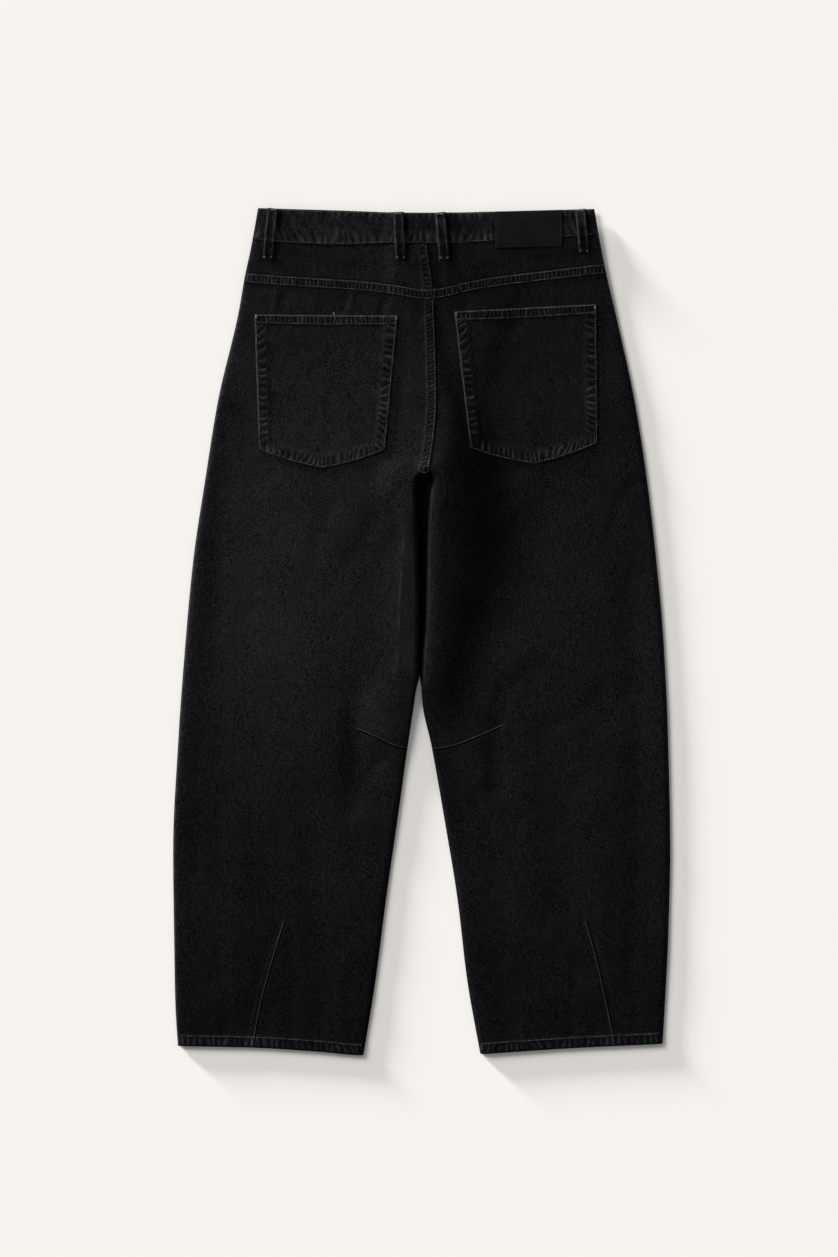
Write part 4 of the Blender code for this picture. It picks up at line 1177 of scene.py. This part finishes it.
def lay_waistband_front(side, across, down, grid):
    def row_drop(x):
        return front_top(x) + crowded(down, grid[1], EDGED, EDGED, front_seam(x) - front_top(x))

    edge_x = OUTER[side](row_drop(OUTER[side](20.0)))
    length = np.abs(LAP_END[side] - edge_x)
    from_edge = crowded(from_outer(side, across), grid[0], EDGED, EDGED, length)
    x = edge_x + TOWARD[side] * from_edge
    drop = row_drop(x)
    from_top, from_low = drop - front_top(x), front_seam(x) - drop
    from_lap = np.abs(x - LAP_END[side])
    edge = np.minimum(np.minimum(from_top, from_low), from_lap)
    z = waistband_front_under(side, x)
    z += 0.35 * np.exp(-edge / 0.5) + 0.12 * (1 + rumple(x, drop, 24.0, 51))
    seams = [*waistband_seams(x, from_top, from_low), seam(from_lap, drop)]
    return at(x, drop, z), nearest_seam(seams)


def front_loop_under(drop):
    """Height of the front belt loops' outer face."""
    return WAIST_LIFT * (1 - ease(*LIFT_ENDS, drop)) - FRONT_LOOP_BELOW


def lay_front_loop(x_middle, across, down, _grid):
    x = x_middle + (across - 0.5) * LOOP_WIDTH
    drop = float(front_top(x_middle)) + FRONT_LOOP_LENGTH * down
    to_edge = to_end(across, LOOP_WIDTH)
    z = front_loop_under(drop) + 0.3 * np.exp(-to_edge / 0.5)
    z += 0.15 * np.exp(-(((across - 0.5) * 7) ** 2))
    cross = np.minimum(to_edge, to_end(down, FRONT_LOOP_LENGTH))
    return at(x, drop, z), {"cross": cross, "along": drop}


STITCH_SHAPES = {}


def thread_shape(length, radius):
    """The points and faces of one stitch that lies along X, as a spindle of thread."""
    key = (round(length, 3), round(radius, 3))
    if key not in STITCH_SHAPES:
        bpy.ops.mesh.primitive_uv_sphere_add(segments=6, ring_count=4, radius=1)
        ball = bpy.context.object
        edit("SELECT")
        bpy.ops.transform.rotate(value=math.pi / 2, orient_axis="Y", center_override=(0, 0, 0))
        bpy.ops.transform.resize(value=(length / 2 * MM, radius * MM, radius * 0.8 * MM))
        bpy.ops.mesh.quads_convert_to_tris()
        bpy.ops.object.mode_set(mode="OBJECT")
        points = np.array([v.co[:] for v in ball.data.vertices])
        # Full ends make a stitch of thread rather than a grain
        half = length / 2 * MM
        points[:, 0] = np.sign(points[:, 0]) * half * (np.abs(points[:, 0]) / half) ** 0.6
        faces = np.array([p.vertices[:] for p in ball.data.polygons])
        bpy.data.objects.remove(ball)
        STITCH_SHAPES[key] = (points, faces)
    return STITCH_SHAPES[key]


def walk(path, pitch):
    """Places every pitch along a path of points in metres, with the path's direction there."""
    path = np.asarray(path)
    steps = np.linalg.norm(np.diff(path, axis=0), axis=1)
    run = np.concatenate([[0], np.cumsum(steps)])
    count = max(2, int(round(run[-1] / (pitch * MM))))
    places = (np.arange(count) + 0.5) * run[-1] / count

    def points(lengths):
        return np.stack([np.interp(lengths, run, path[:, k]) for k in range(3)], axis=1)

    reach = 0.6 * MM
    heading = points(np.minimum(places + reach, run[-1])) - points(np.maximum(places - reach, 0))
    return points(places), heading / np.linalg.norm(heading, axis=1, keepdims=True)


def sewn(name, material, rows):
    """Rows of stitches in one piece. Each row is (path, pitch, length, radius, slant)."""
    all_points, all_faces, count = [], [], 0
    for number, (path, pitch, length, radius, slant) in enumerate(rows):
        points, faces = thread_shape(length, radius)
        spots, heading = walk(path, pitch)
        chance = np.random.default_rng(number + 7)
        turn = slant + chance.normal(0, 0.05, len(spots))
        side = np.stack([-heading[:, 1], heading[:, 0], 0 * heading[:, 0]], axis=1)
        side /= np.linalg.norm(side, axis=1, keepdims=True)
        lean = heading * np.cos(turn)[:, None] + side * np.sin(turn)[:, None]
        cross = np.cross([0, 0, 1], lean)
        cross /= np.linalg.norm(cross, axis=1, keepdims=True)
        up = np.cross(lean, cross)
        placed = (
            spots[:, None, :]
            + points[None, :, 0:1] * lean[:, None, :]
            + points[None, :, 1:2] * cross[:, None, :]
            + points[None, :, 2:3] * up[:, None, :]
        )
        all_points.append(placed.reshape(-1, 3))
        starts = np.arange(len(spots)) * len(points) + count
        all_faces.append((faces[None] + starts[:, None, None]).reshape(-1, 3))
        count += len(spots) * len(points)
    mesh = bpy.data.meshes.new(name)
    mesh.from_pydata(np.concatenate(all_points).tolist(), [], np.concatenate(all_faces).tolist())
    piece = bpy.data.objects.new(name, mesh)
    bpy.context.scene.collection.objects.link(piece)
    return finished(piece, material)


def row(x, drop, z, pitch=STITCH_PITCH, length=STITCH_LENGTH, radius=THREAD_RADIUS, slant=0.0):
    return at(x, drop, z), pitch, length, radius, slant


def back_line(side, x, drop, raised=0.12):
    return row(x, drop, back_surface(side, x, drop) + raised)


def panel_stitches(side):
    """The rows sewn through a leg's back panel."""
    toward = TOWARD[side]
    rows = []
    for inset in (1.5, FELL_WIDTH - 1.6):
        start = OUTER[side](85.0) + toward * 5
        line = np.linspace(start, inner_edge(side, 93.0) - toward * 1, 240)
        rows.append(back_line(side, line, yoke_seam(line) + inset))
    end = inner_edge(side, 965.0) - toward * 3
    line = np.linspace(OUTER[side](960.0) + toward * 4, end, 220)
    rows.append(back_line(side, line, hem_line(line) - HEM_WIDTH + 1.4))
    return rows


def fell_stitches(inset):
    """A row down the centre back seam, on the yoke and on the leg's panel."""
    drop = np.linspace(44.0, 92.0, 60)
    x = inner_edge("left", drop) - inset
    on_yoke = row(x, drop, back_height(x, drop) + FELL_RISE + 0.3)
    start = float(yoke_seam(12.0)) + (FELL_WIDTH + 1)
    drop = np.linspace(start, CROTCH_DROP - 1, 200)
    return [on_yoke, back_line("left", inner_edge("left", drop) - inset, drop)]


def waistband_stitches():
    rows = []
    for depth in (0.05, 0.955):
        x = np.linspace(-187, 197.0, 400)
        drop = waist_top(x) + (waist_seam(x) - waist_top(x)) * depth
        rows.append(row(x, drop, waistband_surface(x, drop) + 0.05))
    return rows


def on_pocket(side, across_mm, down_mm, raised=0.12):
    """Points just above a pocket's outer face."""
    across_mm, down_mm = np.broadcast_arrays(across_mm, down_mm)
    x, drop, z = pocket_surface(side, across_mm, down_mm)
    return at(x, drop, z + raised)


def pocket_stitches(side):
    inset = 1.7
    down = np.linspace(0.0, POCKET_DEPTH - inset, 90)
    across = np.linspace(inset, POCKET_WIDTH - inset, 90)
    outline = np.concatenate(
        [
            on_pocket(side, inset, down),
            on_pocket(side, across, POCKET_DEPTH - inset),
            on_pocket(side, POCKET_WIDTH - inset, down[::-1]),
        ]
    )
    across = np.linspace(1.5, POCKET_WIDTH - 1.5, 120)
    paths = [outline, on_pocket(side, across, POCKET_HEM - 1.2), on_pocket(side, across, 1.4)]
    return [(path, STITCH_PITCH, STITCH_LENGTH, THREAD_RADIUS, 0.0) for path in paths]


def loop_stitches():
    rows = []
    for ends_of_loop in BACK_LOOPS.values():
        for across in (0.15, 0.85):
            points, _ = lay_loop(*ends_of_loop, np.full(60, across), np.linspace(0.02, 0.98, 60))
            rows.append((points + RAISED, *LOOP_STITCH, 0.0))
    return rows


def tack(x, drop, z, length, width=1.8):
    """A bar tack: threads packed side by side along a short line across the cloth."""
    t = np.linspace(-length / 2, length / 2, 12)
    return at(x + t, drop, z), 0.55, width, TACK_RADIUS, math.pi / 2


def tacks():
    rows = []
    for top_x, top_drop, foot_x, foot_drop in BACK_LOOPS.values():
        foot = foot_drop - 2.2
        foot_at = foot_x + (top_x - foot_x) * 0.04
        for end in (-1, 1):
            spot = foot_at + end * 3.9
            rows.append(tack(spot, foot, outer_face(foot_at, foot) + 2.25, 1.8))
        head = top_drop + 2.0
        rows.append(tack(top_x, head, outer_face(top_x, head) + 2.1, 9.0, 1.2))
    for side in SIDES:
        for across in (1.9, POCKET_WIDTH - 1.9):
            path = on_pocket(side, across, np.linspace(1.2, 5.2, 12), 0.15)
            rows.append((path, 0.6, 1.9, TACK_RADIUS, math.pi / 2))
    return rows


def crotch_tack():
    """The centre seam's end, sewn over and curled into a knob above the inside legs."""
    rows = []
    for radius, start, end, x_middle, drop_middle in KNOB_CURLS:
        angle = np.radians(np.linspace(start, end, 24))
        x = x_middle + radius * np.cos(angle)
        drop = drop_middle + 0.9 * radius * np.sin(angle)
        z = back_height(x, np.minimum(drop, 300.0)) + FELL_RISE + 1.5 - 0.03 * radius**2
        rows.append((at(x, drop, z), 1.5, 2.0, 0.42, 0.0))
    drop = np.linspace(284.0, 304.5, 24)
    x = np.interp(drop, (284.0, 296.0, 304.5), (float(centre_seam(284.0)) - 0.6, 8.2, 7.6))
    z = back_height(x, np.minimum(drop, 300.0)) + FELL_RISE + 1.1 * ease(284, 296, drop)
    rows.append((at(x, drop, z), 1.7, 2.1, 0.40, 0.0))
    return rows


def thread_end():
    """A loose end of thread at the left pocket's hem."""
    x, drop = pocket_place("left", np.array(85.5), np.array(0.6))
    rise = np.linspace(0, 1, 8)
    z = back_surface("left", x, drop) + 2.6
    path = at(x + 1.6 * rise, drop - 3.4 + 6.4 * rise, z + 0.5 * np.sin(rise * 5))
    return [(path, 1.2, 1.7, 0.34, 0.0)]


def front_stitches():
    """The fly's curved row, the front hems and the rows on the front of the waistband."""
    rows = []
    turn = np.linspace(0, math.pi / 2, 40)
    across, top, low, reach, depth = FLY
    fly_x = np.concatenate([np.full(60, across), across + reach * (1 - np.cos(turn))])
    fly_drop = np.concatenate([np.linspace(top, low, 60), low + depth * np.sin(turn)])
    for shift in (0.0, 6.0):
        x = np.minimum(fly_x + shift * 0.9, 3.0)
        rows.append(row(x, fly_drop - shift * 0.2, front_under("left", x, fly_drop) - 0.05))
    for side in SIDES:
        toward = TOWARD[side]
        end = INSIDE[side](955.0) - toward * 3
        line = np.linspace(OUTER[side](950.0) + toward * 3, end, 180)
        drop = hem_line(line) - 1.5 - HEM_WIDTH + 1.4
        rows.append(row(line, drop, front_under(side, line, drop) + 0.05))
        for first, last, count, inset in ((70.0, 300.0, 120, 2.2), (560.0, 940.0, 200, 2.6)):
            drop = np.linspace(first, last, count)
            x = front_edge(side, drop) - toward * inset
            rows.append(row(x, drop, front_under(side, x, drop) + 0.04))
        x = np.linspace(OUTER[side](20.0) + toward * 3, LAP_END[side] - toward * 2, 160)
        for depth in (0.06, 0.94):
            drop = front_top(x) + (front_seam(x) - front_top(x)) * depth
            rows.append(row(x, drop, waistband_front_under(side, x) - 0.02))
    for x_middle in FRONT_LOOPS.values():
        for shift in (-4.0, 4.0):
            drop = float(front_top(x_middle)) + np.linspace(1, FRONT_LOOP_LENGTH - 1, 40)
            rows.append(row(x_middle + shift, drop, front_loop_under(drop), 2.8, 2.1, 0.3))
    return rows


def label_stitches():
    across, down = np.linspace(0.03, 0.97, 60), np.linspace(0.055, 0.945, 40)
    lines = [(across, np.full(60, end)) for end in (0.055, 0.945)]
    lines += [(np.full(40, end), down) for end in (0.03, 0.97)]
    return [(lay_label(u, v)[0] + RAISED, 3.0, 2.3, 0.26, 0.0) for u, v in lines]


def edit_faces(piece, way):
    """Goes into edit mode with the flat faces selected that look up (way 1) or down (way -1)."""
    edit("DESELECT")
    bpy.ops.mesh.select_mode(type="FACE")
    bpy.ops.object.mode_set(mode="OBJECT")
    for face in piece.data.polygons:
        face.select = way * face.normal.z > 0.9
    bpy.ops.object.mode_set(mode="EDIT")


def make_button():
    """A shank button: a turned rim round a dished face, on its short shank."""
    middle = (5.0 - MIDDLE_X) * MM, (MIDDLE_DROP - float(front_top(0.0)) - WAIST_DEPTH / 2) * MM
    bpy.ops.mesh.primitive_cylinder_add(
        vertices=64, radius=8.5 * MM, depth=1.2 * MM, location=(*middle, 0.75 * MM)
    )
    button = bpy.context.object
    bpy.ops.object.transform_apply()
    edit_faces(button, -1)
    for inset, push in ((0.8, 0.0), (0.5, 0.35), (2.4, 0.0), (0.4, -0.25), (2.2, 0.1)):
        bpy.ops.mesh.inset(thickness=inset * MM)
        bpy.ops.transform.translate(value=(0, 0, push * MM))
    edit_faces(button, 1)
    bpy.ops.mesh.inset(thickness=5.3 * MM)
    bpy.ops.mesh.extrude_region_move(TRANSFORM_OT_translate={"value": (0, 0, 1.35 * MM)})
    bpy.ops.object.mode_set(mode="OBJECT")
    modified(button, "BEVEL", width=0.22 * MM, segments=3, angle_limit=math.radians(50))
    button.name = button.data.name = "button"
    return finished(button, METAL, "waist_button")


# The sheets of each side: node, grid, thickness, lay, whether it faces down, material
SIDE_SHEETS = (
    ("back", (112, 340), DENIM, lay_back, False, LEG_DENIM),
    ("yoke", (116, 34), DENIM, lay_yoke, False, LEG_DENIM),
    ("back_pocket", (96, 100), 1.0, lay_pocket, False, POCKET_DENIM),
    ("front", (78, 230), DENIM, lay_front, True, LEG_DENIM),
    ("waistband_front", (110, 26), 1.7, lay_waistband_front, True, WAISTBAND_DENIM),
)


def make_cloth():
    pieces = {}

    def add(node, grid, ply, lay, place, faces_down, material):
        name = "denim_" + node.replace("back_pocket", "pocket")
        piece = cloth(name, grid, ply, lay, *place, faces_down=faces_down)
        pieces[node] = finished(piece, material, node)

    for side in SIDES:
        for node, grid, ply, lay, faces_down, material in SIDE_SHEETS:
            add(f"{node}_{side}", grid, ply, lay, (side,), faces_down, material)
    add("waistband_back", (300, 40), WAISTBAND_PLY, lay_waistband_back, (), False, WAISTBAND_DENIM)
    for node, place in BACK_LOOPS.items():
        add(node, (24, 80), 1.3, lay_loop, place, False, LOOP_DENIM)
    for node, x_middle in FRONT_LOOPS.items():
        add(node, (14, 40), 1.3, lay_front_loop, (x_middle,), True, LOOP_DENIM)
    label = cloth("label", (60, 36), 1.0, lay_label)
    pieces["label_patch"] = finished(label, PATCH, "label_patch")
    return pieces


def light_and_camera():
    bpy.ops.mesh.primitive_plane_add(size=60, location=(0, 0, -0.0002))
    floor = bpy.context.object
    floor.name = "floor"
    paper = Finish("floor_paper", 0.95, specular=0.0)
    paper.set("Base Color", PAPER)
    floor.data.materials.append(paper.material)
    world = bpy.data.worlds.new("studio")
    bpy.context.scene.world = world
    world.use_nodes = True
    sky = world.node_tree.nodes["Background"].inputs
    sky["Color"].default_value = (1, 1, 1, 1)
    sky["Strength"].default_value = SKY_STRENGTH
    for name, energy, angle, toward in LIGHTS:
        bpy.ops.object.light_add(type="SUN", location=toward)
        light = bpy.context.object
        light.name = name
        light.data.energy = energy
        light.data.angle = math.radians(angle)
        light.rotation_euler = Vector(toward).to_track_quat("Z", "Y").to_euler()
    bpy.ops.object.camera_add(location=CAMERA_PLACE)
    camera = bpy.context.object
    camera.data.lens = 85
    camera.data.sensor_width = 36
    bpy.context.scene.camera = camera
    bpy.context.scene.view_settings.view_transform = "Standard"


pieces = make_cloth()
make_button()
for side in SIDES:
    sewn(f"stitches_back_{side}", THREAD, panel_stitches(side))
    sewn(f"stitches_pocket_{side}", THREAD, pocket_stitches(side))
sewn("stitches_fell_edge", THREAD, fell_stitches(1.4))
sewn("stitches_fell", DARK_THREAD, fell_stitches(FELL_WIDTH - 1.6))
sewn("stitches_waistband", THREAD, waistband_stitches())
sewn("stitches_loops", THREAD, loop_stitches())
sewn("stitches_label", DARK_THREAD, label_stitches())
sewn("stitches_front", THREAD, front_stitches())
sewn("bar_tacks", TACK_THREAD, tacks())
sewn("crotch_tack", THREAD, crotch_tack())
sewn("thread_end", TACK_THREAD, thread_end())
light_and_camera()
